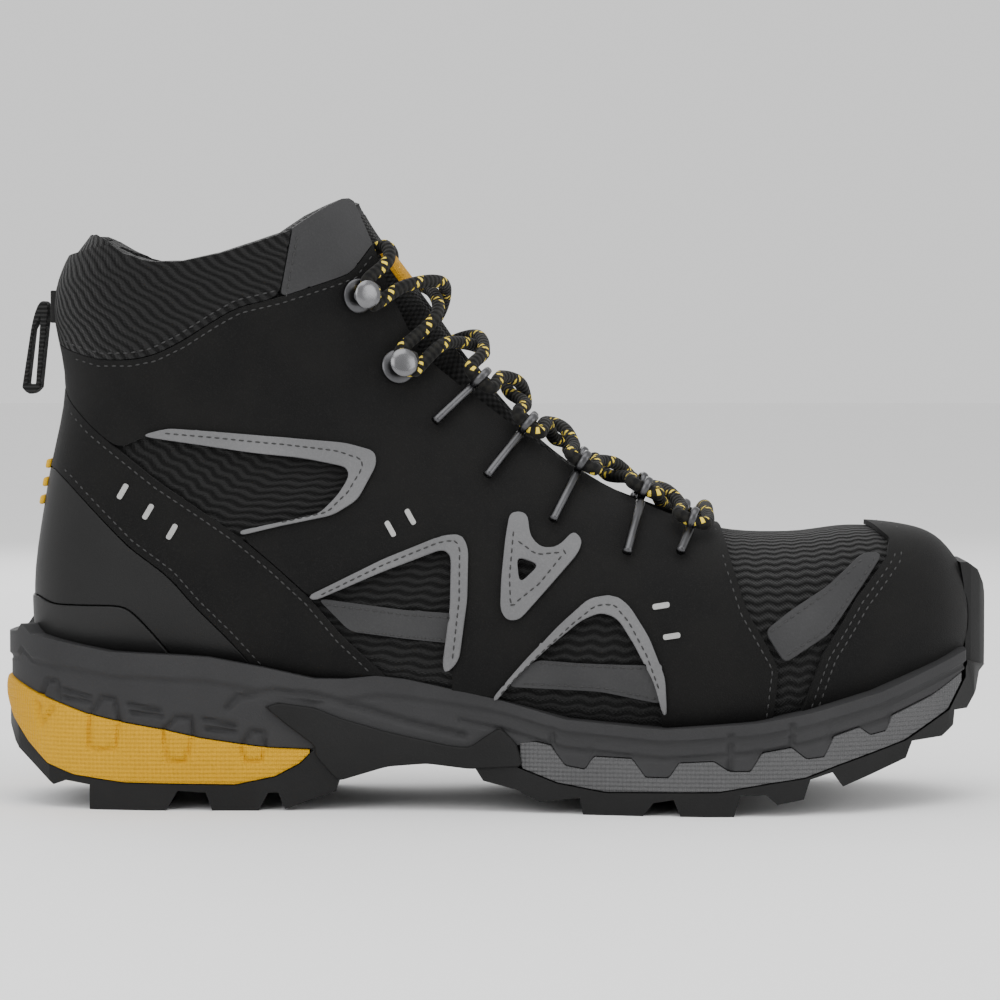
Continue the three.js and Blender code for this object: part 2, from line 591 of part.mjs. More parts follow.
const MID_TRIM = [
  [95, 65], [118, 76], [135.5, 82.8], [141.5, 83.2], [143.6, 79], [143.4, 64], [141, 46], [137, 42.2],
  [136, 45], [138.2, 61.5], [138.4, 77], [135.8, 78.8], [118, 72.3], [97.2, 63.6],
];
const FRONT_TRIM = [
  [151, 35.3], [162, 47.5], [171.5, 57], [180, 64.2], [187.5, 65.2], [192, 62], [198, 53], [202.8, 41.5],
  [203.4, 30.5], [202, 31], [199.4, 40], [193.5, 51], [188.5, 58.5], [183.5, 60.2], [177.5, 57.8],
  [169, 51], [158.5, 41.5], [152.4, 34.8],
];
const WING = [
  [155.8, 89.5], [161, 89], [162, 82], [165.5, 78.7], [170.5, 79], [175, 83.5], [177.8, 80.5],
  [176.5, 77], [165.5, 65], [159, 58], [155.3, 58], [153.3, 61], [153.5, 70], [154.6, 82],
];
const trimLayer = layer(TRIM_IN, TRIM_OUT).subtract(belowFeather);
const windows = (span) =>
  across(REAR_WINDOW, 0, span).add(across(MID_WINDOW, 0, span)).add(across(FRONT_WINDOW, 0, span))
    .add(across(WING_HOLE, 0, span));

for (const [name, side] of Object.entries(SIDES)) {
  const span = halfOf(side);
  const trim = (outline) => trimLayer.intersect(across(outline, 0, span));
  add("collar_front_" + name, piece([
    ...beside(COLLAR_SEAM, -GAP), [140, 200], ...COLLAR_FRONT_LOW.slice(1).reverse()], 0, span), "darkGrey");
  add("quarter_" + name, piece(QUARTER, 0, span).subtract(windows(span)), "nubuck");
  add("mid_band_" + name, piece(MID_BAND, 0, span), "darkGrey");
  add("front_band_" + name, piece(FRONT_BAND, 0, span), "darkGrey");
  add("vamp_strip_" + name, piece(VAMP_STRIP, 0, span), "darkGrey");
  add("rear_trim_" + name, trim(REAR_TRIM), "grey");
  add("mid_trim_" + name, trim(MID_TRIM), "grey");
  add("front_trim_" + name, trim(FRONT_TRIM), "grey");
  add("wing_trim_" + name, trim(WING).subtract(across(WING_HOLE, 0, span)), "grey");
}

// ---- Tongue ----

const TONGUE_FROM = locate(222, 79).s;
const TONGUE_TO = LAST_END - 2.75;
const QUARTER_TURN = Math.PI / 2;
const TONGUE_ACROSS = 9;
const smooth = (t) => THREE.MathUtils.smoothstep(t, 0, 1);

// The tongue's outer face, across from -1 to 1 and along from 0 at the vamp to 1 at its top.
function tongueFace(acrossShare, share) {
  const seated = THREE.MathUtils.lerp(LINING_IN - 4 * GAP, -TONGUE.crown, smooth(share / 0.14));
  const fall = smooth((Math.abs(acrossShare) - TONGUE.ridge * 0.45) / (TONGUE.ridge * 0.75));
  return THREE.MathUtils.lerp(seated, TONGUE_WING, fall);
}
function tongueSheet([from, to], [left, right], outOf, inOf, steps) {
  const rings = [];
  for (let r = 0; r <= steps; r++) {
    const share = THREE.MathUtils.lerp(from, to, r / steps);
    const s = THREE.MathUtils.lerp(TONGUE_FROM, TONGUE_TO, share);
    const spread = THREE.MathUtils.lerp(0.62, 0.92, smooth(share * 1.4));
    const at = (k, distance) => {
      const u = THREE.MathUtils.lerp(left, right, k / (TONGUE_ACROSS - 1));
      return skin(s, QUARTER_TURN + u * spread, distance(u, share));
    };
    const outer = Array.from({ length: TONGUE_ACROSS }, (_, k) => at(k, outOf));
    const inner = Array.from({ length: TONGUE_ACROSS }, (_, k) => at(TONGUE_ACROSS - 1 - k, inOf));
    rings.push([...outer, ...inner]);
  }
  return loft(rings);
}
const tongueBack = (u, share) => {
  const thick = THREE.MathUtils.lerp(TONGUE.pad, TONGUE.wing, smooth(Math.abs(u) * 1.3));
  return tongueFace(u, share) - thick * (0.45 + 0.55 * smooth(share / 0.2));
};
add("tongue", tongueSheet([0, 1], [-1, 1], tongueFace, tongueBack, 14), "mesh");

const TONGUE_RISE = 105; // height of the tongue from its foot to its top
const labelHalf = LABEL.height / 2 / gradeZ(TONGUE_RISE);
add(
  "tongue_label",
  tongueSheet(
    [LABEL.at - labelHalf, LABEL.at + labelHalf],
    [-LABEL.across, LABEL.across],
    (u, share) => tongueFace(u, share) + 3 * GAP + LABEL.thick,
    (u, share) => tongueFace(u, share) + 3 * GAP,
    3,
  ),
  "yellow",
);

// ---- Lacing hardware ----

// Axes at a place on the quarter: out of it, up the throat, and away from the throat.
function seat(x, z, side) {
  const { s, turn } = locate(x, z);
  const sided = side === OUTER ? turn : Math.PI - turn;
  const out = lastNormal(s, sided);
  const up = lastPoint(s + 0.2, sided).sub(lastPoint(s - 0.2, sided)).normalize();
  const away = up.clone().cross(out).multiplyScalar(side === OUTER ? 1 : -1).normalize();
  up.crossVectors(out, away).multiplyScalar(side === OUTER ? 1 : -1).normalize();
  return { at: skin(s, sided, 0), out, up, away };
}
// A geometry whose x, y, z run away, up and out, moved to a seat at a height over the last.
function seated(geometry, place, height) {
  const right = new THREE.Vector3().crossVectors(place.up, place.out);
  const basis = new THREE.Matrix4().makeBasis(right, place.up, place.out);
  return solidOf(geometry.applyMatrix4(basis.setPosition(place.at.clone().addScaledVector(place.out, height))));
}

const FACING = OVERLAY_OUT + 3.6 * GAP; // what the hardware rests on
const RING_HEIGHT = FACING + RING.hole + RING.wall;
const ROD_HEIGHT = FACING + KEEPER_ROD;
const KEEPERS = [
  { ring: [210, 82], foot: [207, 75.5] },
  { ring: [195, 91], foot: [191, 76] },
  { ring: [175.5, 100], foot: [168.5, 86] },
  { ring: [158.5, 112.5], foot: [148.5, 99.5] },
  { ring: [144, 127], foot: [132.5, 116] },
];
const HOOKS = { low: [121, 133.5], high: [108.5, 155.5] };

// A keeper: an eye for the lace and a round leg that is riveted under the facing.
function keeper({ ring: eyeAt, foot }, side) {
  const place = seat(...eyeAt, side);
  const eye = new THREE.LatheGeometry(
    [
      new THREE.Vector2(RING.hole, -RING.wide / 2),
      new THREE.Vector2(RING.hole + RING.wall, -RING.wide / 2),
      new THREE.Vector2(RING.hole + RING.wall, RING.wide / 2),
      new THREE.Vector2(RING.hole, RING.wide / 2),
      new THREE.Vector2(RING.hole, -RING.wide / 2),
    ],
    10,
  );
  const legPlace = (t) =>
    onSide(THREE.MathUtils.lerp(eyeAt[0], foot[0], t), THREE.MathUtils.lerp(eyeAt[1], foot[1], t), side, ROD_HEIGHT);
  const first = (RING.hole * 0.7) / legPlace(0).distanceTo(legPlace(1));
  const leg = tube([first, (1 + first) / 2, 1].map(legPlace), KEEPER_ROD, 6);
  return seated(eye, place, RING_HEIGHT).add(leg);
}

const HOOK_GAP = LACE + 2 * GAP;
const HOOK_BASE = FACING;
const HOOK_LACE = HOOK_BASE + HOOK.baseThick + HOOK_GAP / 2;
// The corners of the lace's turn round the neck.
const HOOK_TURN = (HOOK.neck + LACE / 2 + GAP) / Math.cos(Math.PI / 6);
function hook(place) {
  const [neckFrom, neckTo] = [HOOK_BASE + HOOK.baseThick, HOOK_BASE + HOOK.baseThick + HOOK_GAP];
  const profile = [
    [0, HOOK_BASE], [HOOK.base, HOOK_BASE], [HOOK.base, neckFrom], [HOOK.neck, neckFrom],
    [HOOK.neck, neckTo], [HOOK.cap, neckTo], [HOOK.cap, neckTo + HOOK.capThick], [0, neckTo + HOOK.capThick],
  ];
  const lathed = new THREE.LatheGeometry(profile.map(([r, h]) => new THREE.Vector2(r, h)), 12);
  return seated(lathed.rotateX(Math.PI / 2), place, 0);
}

for (const [name, side] of Object.entries(SIDES)) {
  KEEPERS.forEach((spot, row) => add("lace_keeper_" + name + "_" + (row + 1), keeper(spot, side), "gunmetal"));
  for (const [level, spot] of Object.entries(HOOKS)) {
    add("lace_hook_" + level + "_" + name, hook(seat(...spot, side)), "gunmetal");
  }
}

// ---- Lace ----

const offSeat = (place, away, up, out) =>
  place.at.clone().addScaledVector(place.away, away).addScaledVector(place.up, up).addScaledVector(place.out, out);
const EDGE = OVERLAY_OUT + LACE / 2 + 6 * GAP; // lace height as it passes the facing's edge
const UNDER = -TONGUE.crown + LACE / 2 + 10 * GAP;
const OVER = UNDER + LACE + GAP;

// From one side's seat to the other side's, over or under the strand that it crosses.
function crossing(from, to, height) {
  const [a, b] = [locate(...from.spot), locate(...to.spot)];
  const turnOf = (end, turn) => (end.side === OUTER ? turn : Math.PI - turn);
  const at = (t, out) =>
    skin(THREE.MathUtils.lerp(a.s, b.s, t), THREE.MathUtils.lerp(turnOf(from, a.turn), turnOf(to, b.turn), t), out);
  return [at(0.22, EDGE), at(0.5, height), at(0.78, EDGE)];
}
const throughEye = (end, direction) => {
  const place = seat(...end.spot, end.side);
  return [-1, 1].map((k) => offSeat(place, 0, (direction * k * (RING.wide + 1.5 * LACE)) / 2, RING_HEIGHT));
};
const roundHook = (end, direction) => {
  const place = seat(...end.spot, end.side);
  return [-1, 0, 1].map((k) => (k * Math.PI) / 3).map((angle) =>
    offSeat(place, Math.cos(angle) * HOOK_TURN, direction * Math.sin(angle) * HOOK_TURN, HOOK_LACE),
  );
};

// A place at a distance from the throat's middle line.
function fromMiddle(s, distance, side, out) {
  const { half, square } = station(s);
  const turn = Math.acos((distance / half) ** (square[1] / 2));
  return skin(s, side === OUTER ? turn : Math.PI - turn, out);
}

// From the top hook the lace rises along the facing, dips behind it and runs down inside, beside the tongue.
function tuckedEnd({ spot, side }) {
  const { s } = locate(...spot);
  const pocket = LINING_IN - LACE_POCKET / 2;
  const dip = [[0.45, THROAT.top, EDGE], [0.85, THROAT.top - 5, 1.5], [0.75, THROAT.top - 3, pocket + 3]];
  const down = [0.2, -1, -2.4, -3.8, -5.2, -6.6].map((ds) => [ds, THROAT.top + 4, pocket]);
  return [...dip, ...down].map(([ds, distance, out]) => fromMiddle(s + ds, distance, side, out));
}

// Half of the lacing, from the bottom eye up to the top hook.
function strand(firstSide, height) {
  const spots = [...KEEPERS.map((k) => k.ring), HOOKS.low, HOOKS.high];
  const ends = spots.map((spot, row) => (
    { spot, side: row % 2 ? -firstSide : firstSide, hooked: row >= KEEPERS.length }
  ));
  const points = [];
  ends.forEach((end, row) => {
    points.push(...(end.hooked ? roundHook(end, 1) : throughEye(end, 1)));
    if (row + 1 < ends.length) points.push(...crossing(end, ends[row + 1], height));
  });
  return [...points, ...tuckedEnd(ends.at(-1))];
}
const outerHalf = strand(OUTER, OVER);
const innerHalf = strand(INNER, UNDER);
const bottomBar = [0.3, 0.5, 0.7].map((t) => {
  const { s, turn } = locate(...KEEPERS[0].ring);
  return skin(s - 0.25, THREE.MathUtils.lerp(turn, Math.PI - turn, t), EDGE);
});
const route = [...outerHalf.reverse(), ...bottomBar, ...innerHalf];
add("lace", tube(route, LACE / 2, 8), "lace");

// ---- Lace tips, at the ends of the lace inside the boot ----

const tip = (end, before) => {
  const direction = end.clone().sub(before).normalize();
  const start = end.clone().addScaledVector(direction, GAP);
  return tube([start, end.clone().addScaledVector(direction, GAP + AGLET.length)], AGLET.radius, 8);
};
add("lace_tip_lateral", tip(route[0], route[1]), "gunmetal");
add("lace_tip_medial", tip(route.at(-1), route.at(-2)), "gunmetal");

// ---- Heel details ----

const heelBack = (z) => {
  const { s } = locate(12, z);
  return skin(s, -QUARTER_TURN, OVERLAY_OUT + GAP);
};
const backShift = gradeY(-1);
const pivotZ = 151;
const backAt = heelBack(pivotZ);
const pivot = new THREE.Vector2(backAt.x - PULL.standOff, backAt.z);
const bar = (x0, x1, z0, z1, wide) =>
  solidOf(new THREE.BoxGeometry(x1 - x0, wide, z1 - z0).translate((x0 + x1) / 2, backShift, (z0 + z1) / 2));
const anchorDepth = 3;
const anchor = bar(pivot.x + PULL.eye + GAP, backAt.x + anchorDepth, backAt.z - 5, backAt.z + 5, PULL.wide + 4)
  .subtract(overlaid);
add("pull_loop_anchor", anchor, "nubuck");

// The loop hangs from the anchor: an eye at the pivot and a folded band below it.
const LOOP = { drop: 25, lean: 4.2, band: 1.5, gap: 2.6 };
const loopShape = new THREE.Shape();
const outerLeg = LOOP.band + LOOP.gap / 2;
loopShape.moveTo(pivot.x + 1.2, pivot.y - 1);
loopShape.quadraticCurveTo(pivot.x + 1.2, pivot.y + PULL.eye, pivot.x - 0.6, pivot.y + PULL.eye);
loopShape.quadraticCurveTo(pivot.x - 2.6, pivot.y + PULL.eye - 0.4, pivot.x - LOOP.lean, pivot.y - 7);
loopShape.lineTo(pivot.x - LOOP.lean - outerLeg, pivot.y - LOOP.drop);
loopShape.quadraticCurveTo(
  pivot.x - LOOP.lean, pivot.y - LOOP.drop - 4, pivot.x - LOOP.lean + outerLeg, pivot.y - LOOP.drop,
);
const loopHole = new THREE.Path();
loopHole.moveTo(pivot.x - 1.2, pivot.y - 3.2);
loopHole.lineTo(pivot.x - LOOP.lean + LOOP.gap * 0.55, pivot.y - LOOP.drop + 1);
loopHole.lineTo(pivot.x - LOOP.lean - LOOP.gap * 0.45, pivot.y - LOOP.drop + 1);
loopHole.lineTo(pivot.x - LOOP.lean + 0.9, pivot.y - 7);
loopShape.holes.push(loopHole);
const loopLines = { depth: PULL.wide, bevelEnabled: false, curveSegments: 5 };
const loopGeometry = new THREE.ExtrudeGeometry(loopShape, loopLines);
add("pull_loop", solidOf(loopGeometry.rotateX(Math.PI / 2).translate(0, backShift + PULL.wide / 2, 0)), "nubuck");

const ribLayer = layer(OVERLAY_OUT + GAP, OVERLAY_OUT + GAP + BADGE_RIB.thick);
BADGE_RIB.at.forEach((z, k) => {
  const at = heelBack(z);
  const slab = bar(at.x - 10, at.x + 15, at.z - BADGE_RIB.high / 2, at.z + BADGE_RIB.high / 2, BADGE_RIB.wide);
  add("heel_rib_" + (k + 1), ribLayer.intersect(slab), "yellow");
});

// The origin is on the ground, under the middle of the boot's box.
const box = new THREE.Box3().setFromObject(boot);
const middle = box.getCenter(new THREE.Vector3());
boot.position.set(-middle.x, -middle.y, -box.min.z);

export default boot;
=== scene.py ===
# A mid-height lace-up hiking boot for the right foot, seen from its outer side: +X to the toe, +Z up.
import math

import bmesh
import bpy
import numpy as np
from mathutils import Matrix, Vector


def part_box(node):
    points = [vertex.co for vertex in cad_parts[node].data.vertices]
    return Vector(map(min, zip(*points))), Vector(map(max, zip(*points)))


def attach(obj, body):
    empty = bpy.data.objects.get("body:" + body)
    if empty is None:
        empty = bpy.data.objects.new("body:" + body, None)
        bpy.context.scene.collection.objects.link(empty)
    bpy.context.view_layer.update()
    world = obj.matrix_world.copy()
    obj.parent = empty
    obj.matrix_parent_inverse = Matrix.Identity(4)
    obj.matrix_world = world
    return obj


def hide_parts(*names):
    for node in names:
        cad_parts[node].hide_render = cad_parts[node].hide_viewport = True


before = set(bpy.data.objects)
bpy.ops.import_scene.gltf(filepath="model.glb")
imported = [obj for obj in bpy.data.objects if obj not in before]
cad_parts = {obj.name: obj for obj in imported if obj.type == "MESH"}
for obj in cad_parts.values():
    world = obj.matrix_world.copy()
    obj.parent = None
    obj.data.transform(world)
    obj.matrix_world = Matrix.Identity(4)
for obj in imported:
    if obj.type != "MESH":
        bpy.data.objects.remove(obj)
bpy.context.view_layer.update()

# ---- Studio ----
# A pale sweep under large soft lamps. The camera looks level across the boot's outer side from well
# back, so that the heel and the toe stand true to each other.
MM = 0.001
SHANK_START = (61.83, -14.0)  # the shank's rear corner, measured from the heel's point on the ground
shank_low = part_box("shank")[0]
HEEL_POINT = np.array([shank_low[0] - SHANK_START[0] * MM, shank_low[1] - SHANK_START[1] * MM, 0.0])

LOOK_AT = Vector((HEEL_POINT[0] + 0.1531, 0.0, 0.0924))
FIELD = 0.3112  # width of the view at the boot
LENS, SENSOR = 150.0, 36.0
CAMERA_RISE = math.radians(2.5)
camera_data = bpy.data.cameras.new("camera")
camera_data.lens = LENS
camera_data.sensor_width = SENSOR
camera = bpy.data.objects.new("camera", camera_data)
bpy.context.scene.collection.objects.link(camera)
camera_back = FIELD * LENS / SENSOR
camera.location = LOOK_AT + camera_back * Vector((0, -math.cos(CAMERA_RISE), math.sin(CAMERA_RISE)))
camera.rotation_euler = (LOOK_AT - camera.location).to_track_quat("-Z", "Y").to_euler()
bpy.context.scene.camera = camera


def lamp(name, place, size, power):
    data = bpy.data.lights.new(name, "AREA")
    data.shape = "SQUARE"
    data.size = size
    data.energy = power
    made = bpy.data.objects.new(name, data)
    made.location = place
    made.rotation_euler = (Vector((0, 0, 0.08)) - made.location).to_track_quat("-Z", "Y").to_euler()
    bpy.context.scene.collection.objects.link(made)


lamp("overhead_softbox", Vector((0.1, -0.35, 1.25)), 1.1, 9)
lamp("front_softbox", Vector((-0.55, -1.1, 0.65)), 0.8, 6)
lamp("toe_softbox", Vector((1.1, -0.5, 0.5)), 0.7, 4)
lamp("back_softbox", Vector((-0.3, 1.1, 0.7)), 0.9, 6)
world = bpy.data.worlds.new("studio")
world.use_nodes = True
world.node_tree.nodes["Background"].inputs["Color"].default_value = (1, 1, 1, 1)
world.node_tree.nodes["Background"].inputs["Strength"].default_value = 1.0
bpy.context.scene.world = world


class Flow:
    """A socket of a finish, so that its values can be worked with as numbers are."""

    def __init__(self, finish, socket):
        self.finish, self.socket = finish, socket

    def math(self, operation, *others):
        inputs = dict(enumerate((self, *others)))
        return self.finish.node("ShaderNodeMath", {"operation": operation}, inputs)

    def __add__(self, other):
        return self.math("ADD", other)

    def __sub__(self, other):
        return self.math("SUBTRACT", other)

    def __mul__(self, other):
        return self.math("MULTIPLY", other)

    def __rsub__(self, other):
        return (self * -1) + other

    __radd__, __rmul__ = __add__, __mul__

    def sine(self):
        return self.math("SINE")

    def turns(self, length):
        """The angle of a wave of that length in metres."""
        return self * (2 * math.pi / length)

    def wave(self, length):
        return self.turns(length).sine()

    def above(self, limit, soft=0.1):
        """0 below the limit, 1 above it, with a soft step between."""
        settings = {"interpolation_type": "SMOOTHSTEP"}
        return self.finish.node("ShaderNodeMapRange", settings, {0: self, 1: limit - soft, 2: limit + soft})


class Finish:
    """A material made of nodes around one Principled shader."""

    def __init__(self, name, **shader):
        self.material = bpy.data.materials.new(name)
        self.material.use_nodes = True
        self.tree = self.material.node_tree
        self.shader = self.tree.nodes["Principled BSDF"]
        for key, value in shader.items():
            self.feed(self.shader.inputs[key.replace("_", " ")], value)

    def feed(self, socket, value):
        if isinstance(value, Flow):
            self.tree.links.new(value.socket, socket)
        elif socket.type == "RGBA":
            socket.default_value = (*(value if np.ndim(value) else (value,) * 3), 1)
        else:
            socket.default_value = value

    def node(self, kind, settings=None, inputs=None, out=0):
        made = self.tree.nodes.new(kind)
        for key, value in (settings or {}).items():
            setattr(made, key, value)
        for key, value in (inputs or {}).items():
            self.feed(made.inputs[key], value)
        return Flow(self, made.outputs[out])

    def noise(self, scale, detail=3.0):
        place = self.node("ShaderNodeTexCoord", out=3)
        return self.node("ShaderNodeTexNoise", inputs={"Vector": place, "Scale": scale, "Detail": detail})

    def pattern(self):
        """Metres along and across the piece's own surface."""
        place = self.node("ShaderNodeUVMap", {"uv_map": "pattern"})
        split = self.node("ShaderNodeSeparateXYZ", inputs={"Vector": place})
        return split, Flow(self, split.socket.node.outputs[1])

    def blend(self, share, low, high):
        return self.node("ShaderNodeMix", {"data_type": "RGBA"}, {0: share, 6: low, 7: high}, out=2)

    def colour(self, share, low, high):
        self.feed(self.shader.inputs["Base Color"], self.blend(share, low, high))

    def rough(self, share, low, high):
        self.feed(self.shader.inputs["Roughness"], share * (high - low) + low)

    def relief(self, height, depth):
        inputs = {"Height": height, "Distance": depth * MM, "Strength": 1.0}
        self.feed(self.shader.inputs["Normal"], self.node("ShaderNodeBump", None, inputs))


def floor_finish():
    made = Finish("studio_paper", Base_Color=0.93, Roughness=0.9)
    made.colour(made.noise(9.0), 0.92, 0.94)
    return made.material


floor_mesh = bpy.data.meshes.new("studio_floor")
bm = bmesh.new()
bmesh.ops.create_grid(bm, x_segments=2, y_segments=2, size=6.0)
bm.to_mesh(floor_mesh)
bm.free()
floor_mesh.materials.append(floor_finish())
floor = bpy.data.objects.new("studio_floor", floor_mesh)
bpy.context.scene.collection.objects.link(floor)

# ---- The last ----
# Every layer of the upper is pulled over one last, so all of them follow its shape. Station by station
# from the toe to the collar, in millimetres from the heel's ground point: the top line's and the bottom
# line's places, half width, sideways shift, height share of the widest place, squareness below and above.
STATIONS = np.array([
    [298.4, 58.5, 298.4, 56.5, 1, 8, 0.5, 2, 2],
    [297.6, 65, 297.6, 50.5, 8.5, 8, 0.48, 2.1, 2.1],
    [295, 71.8, 295.5, 44.5, 17, 7.4, 0.45, 2.4, 2.2],
    [288, 79.8, 289, 39, 27, 6, 0.42, 3, 2.3],
    [278, 83.2, 279, 34.5, 35, 4.8, 0.4, 3.6, 2.4],
    [262, 84.5, 263, 29.5, 43, 3, 0.38, 4.2, 2.4],
    [243, 82.6, 243, 25, 48.5, 1.4, 0.36, 4.5, 2.3],
    [221, 83.8, 220, 21.5, 51, 0, 0.36, 4.5, 2.2],
    [201, 91, 192, 21, 47.5, -1.5, 0.35, 4.5, 2.1],
    [181.5, 101.5, 158, 25.5, 42.5, -3, 0.34, 4.2, 2],
    [166, 113, 118, 33.5, 39.5, -3, 0.33, 4, 2],
    [153, 127, 77, 38, 37.5, -2, 0.32, 3.6, 2],
    [143, 139, 36, 41, 36.5, -1.5, 0.32, 3, 2],
    [137.5, 147, 14.5, 46.5, 36.5, -1, 0.33, 2.6, 2],
    [131, 156, 10.4, 66, 36.5, -1, 0.4, 2.4, 2],
    [124.5, 164.5, 14.4, 97, 37, -1, 0.45, 2.3, 2],
    [118.5, 172.5, 20, 127, 38.5, -1, 0.48, 2.3, 2.1],
    [113.5, 180, 16.8, 151, 40, -1, 0.5, 2.3, 2.2],
    [109.5, 188, 20, 165, 40.5, -1, 0.5, 2.3, 2.2],
    [106, 196, 27.5, 176, 40, -1, 0.5, 2.3, 2.2],
    [104, 206, 36, 192, 40, -1, 0.5, 2.3, 2.2],
])
LAST_END = len(STATIONS) - 1
QUARTER_TURN = math.pi / 2
SIDES = {"lateral": -1, "medial": 1}


def stations(s):
    s = np.asarray(s, float)
    i = np.clip(np.floor(s).astype(int), 0, LAST_END - 1)
    t = (s - i)[..., None]
    p0, p1, p2, p3 = (STATIONS[np.clip(i + k, 0, LAST_END)] for k in (-1, 0, 1, 2))
    v0, v1 = (p2 - p0) / 2, (p3 - p1) / 2
    return p1 + t * (v0 + t * (3 * (p2 - p1) - 2 * v0 - v1 + t * (2 * (p1 - p2) + v0 + v1)))


def bare_last(s, turn):
    k = np.moveaxis(stations(s), -1, 0)
    sine, cosine = np.sin(turn), np.cos(turn)
    power = 2 / np.where(sine > 0, k[8], k[7])
    rise = np.sign(sine) * np.abs(sine) ** power
    out = np.sign(cosine) * np.abs(cosine) ** power
    share = k[6] + rise * np.where(rise > 0, 1 - k[6], k[6])
    return np.stack([k[2] + (k[0] - k[2]) * share, k[5] - k[4] * out, k[3] + (k[1] - k[3]) * share], -1)


def last_normal(s, turn):
    step = 0.02
    inside = np.clip(s, step, LAST_END - step)
    ds = bare_last(inside + step, turn) - bare_last(inside - step, turn)
    da = bare_last(s, turn + 2 * step) - bare_last(s, turn - 2 * step)
    normal = np.cross(da, ds)
    return normal / np.linalg.norm(normal, axis=-1, keepdims=True)


def skin(s, turn, out):
    """Places at a distance outside the last. turn is 0 on the outer side and rises to the top."""
    s, turn = np.asarray(s, float), np.asarray(turn, float)
    return bare_last(s, turn) + last_normal(s, turn) * np.asarray(out, float)[..., None]


def locate(x, z):
    """The station and turn of a place in the side view of the outer side."""
    spot = np.stack([np.asarray(x, float), np.asarray(z, float)], -1)
    low, high = np.ones(spot.shape[:-1]), np.full(spot.shape[:-1], float(LAST_END))
    for _ in range(40):
        middle = (low + high) / 2
        k = stations(middle)
        line, reach = k[..., 0:2] - k[..., 2:4], spot - k[..., 2:4]
        ahead = line[..., 0] * reach[..., 1] - line[..., 1] * reach[..., 0] > 0
        low, high = np.where(ahead, middle, low), np.where(ahead, high, middle)
    k = stations(low)
    line, reach = k[..., 0:2] - k[..., 2:4], spot - k[..., 2:4]
    rise = (line * reach).sum(-1) / (line * line).sum(-1) - k[..., 6]
    rise = np.clip(rise / np.where(rise > 0, 1 - k[..., 6], k[..., 6]), -1, 1)
    power = np.where(rise > 0, k[..., 8], k[..., 7]) / 2
    return low, np.arcsin(np.sign(rise) * np.abs(rise) ** power)


def sided(turn, side):
    return turn if side < 0 else math.pi - turn


def row(points):
    """Millimetres from the heel's ground point, as metres in the frame."""
    return np.asarray(points) * MM + HEEL_POINT


# ---- Lace ----
# One round braided cord of black polyester with pairs of yellow tracer threads, about 4 mm thick. It
# crosses the throat through five pairs of keepers and round two pairs of hooks, and both ends are
# tucked down beside the tongue.
GAP = 0.3
LACE = 4.0
OVERLAY_OUT = 1.7
LINING_IN = -5.8
LACE_POCKET = 7.0
TONGUE_CROWN = 3.4
THROAT_BASE, THROAT_TOP = 15.0, 18.0
EYE_HOLE, EYE_WALL, EYE_WIDE = 2.8, 1.1, 2.4
HOOK_NECK, HOOK_BASE_THICK = 1.5, 1.0
FACING = OVERLAY_OUT + 3.6 * GAP  # the height of the facing that the hardware rests on
EYE_HEIGHT = FACING + EYE_HOLE + EYE_WALL
HOOK_GAP = LACE + 2 * GAP
HOOK_LACE = FACING + HOOK_BASE_THICK + HOOK_GAP / 2
HOOK_ROUND = (HOOK_NECK + LACE / 2 + GAP) / math.cos(math.pi / 6)
LACE_EDGE = OVERLAY_OUT + LACE / 2 + 6 * GAP
LACE_UNDER = -TONGUE_CROWN + LACE / 2 + 10 * GAP
LACE_OVER = LACE_UNDER + LACE + GAP
BRAID, TRACER, TICK = 0.0042, 0.0130, 0.0026  # lengths along the cord of the braid and the tracer, in metres
KEEPERS = [((210, 82), (207, 75.5)), ((195, 91), (191, 76)), ((175.5, 100), (168.5, 86)),
           ((158.5, 112.5), (148.5, 99.5)), ((144, 127), (132.5, 116))]
HOOKS = {"low": (121, 133.5), "high": (108.5, 155.5)}


def seat(x, z, side):
    """The place of a fitting, with its axes: out of the boot, up the throat and away from it."""
    s, turn = locate(x, z)
    turn = sided(turn, side)
    out = last_normal(s, turn)
    up = bare_last(s + 0.2, turn) - bare_last(s - 0.2, turn)
    away = np.cross(up, out) * -side
    away /= np.linalg.norm(away)
    up = np.cross(out, away) * -side
    return {"at": skin(s, turn, 0), "out": out, "up": up / np.linalg.norm(up), "away": away}


def off_seat(place, away, up, out):
    return place["at"] + place["away"] * away + place["up"] * up + place["out"] * out


def through_eye(spot, side):
    place, half = seat(*spot, side), (EYE_WIDE + 1.5 * LACE) / 2
    return [off_seat(place, 0, k * half, EYE_HEIGHT) for k in (-1, 1)]


def round_hook(spot, side):
    place = seat(*spot, side)
    angles = [k * math.pi / 3 for k in (-1, 0, 1)]
    return [off_seat(place, math.cos(a) * HOOK_ROUND, math.sin(a) * HOOK_ROUND, HOOK_LACE) for a in angles]


def crossing(spot, side, next_spot, height):
    (s0, t0), (s1, t1) = locate(*spot), locate(*next_spot)
    t0, t1 = sided(t0, side), sided(t1, -side)
    return [skin(s0 + (s1 - s0) * t, t0 + (t1 - t0) * t, out)
            for t, out in ((0.22, LACE_EDGE), (0.5, height), (0.78, LACE_EDGE))]


def from_middle(s, distance, side, out):
    k = stations(s)
    turn = math.acos((distance / k[4]) ** (k[8] / 2))
    return skin(s, sided(turn, side), out)


def tucked_end(spot, side):
    s, pocket = locate(*spot)[0], LINING_IN - LACE_POCKET / 2
    dip = [(0.45, THROAT_TOP, LACE_EDGE), (0.85, THROAT_TOP - 5, 1.5), (0.75, THROAT_TOP - 3, pocket + 3)]
    down = [(ds, THROAT_TOP + 4, pocket) for ds in (0.2, -1, -2.4, -3.8, -5.2, -6.6)]
    return [from_middle(s + ds, distance, side, out) for ds, distance, out in dip + down]


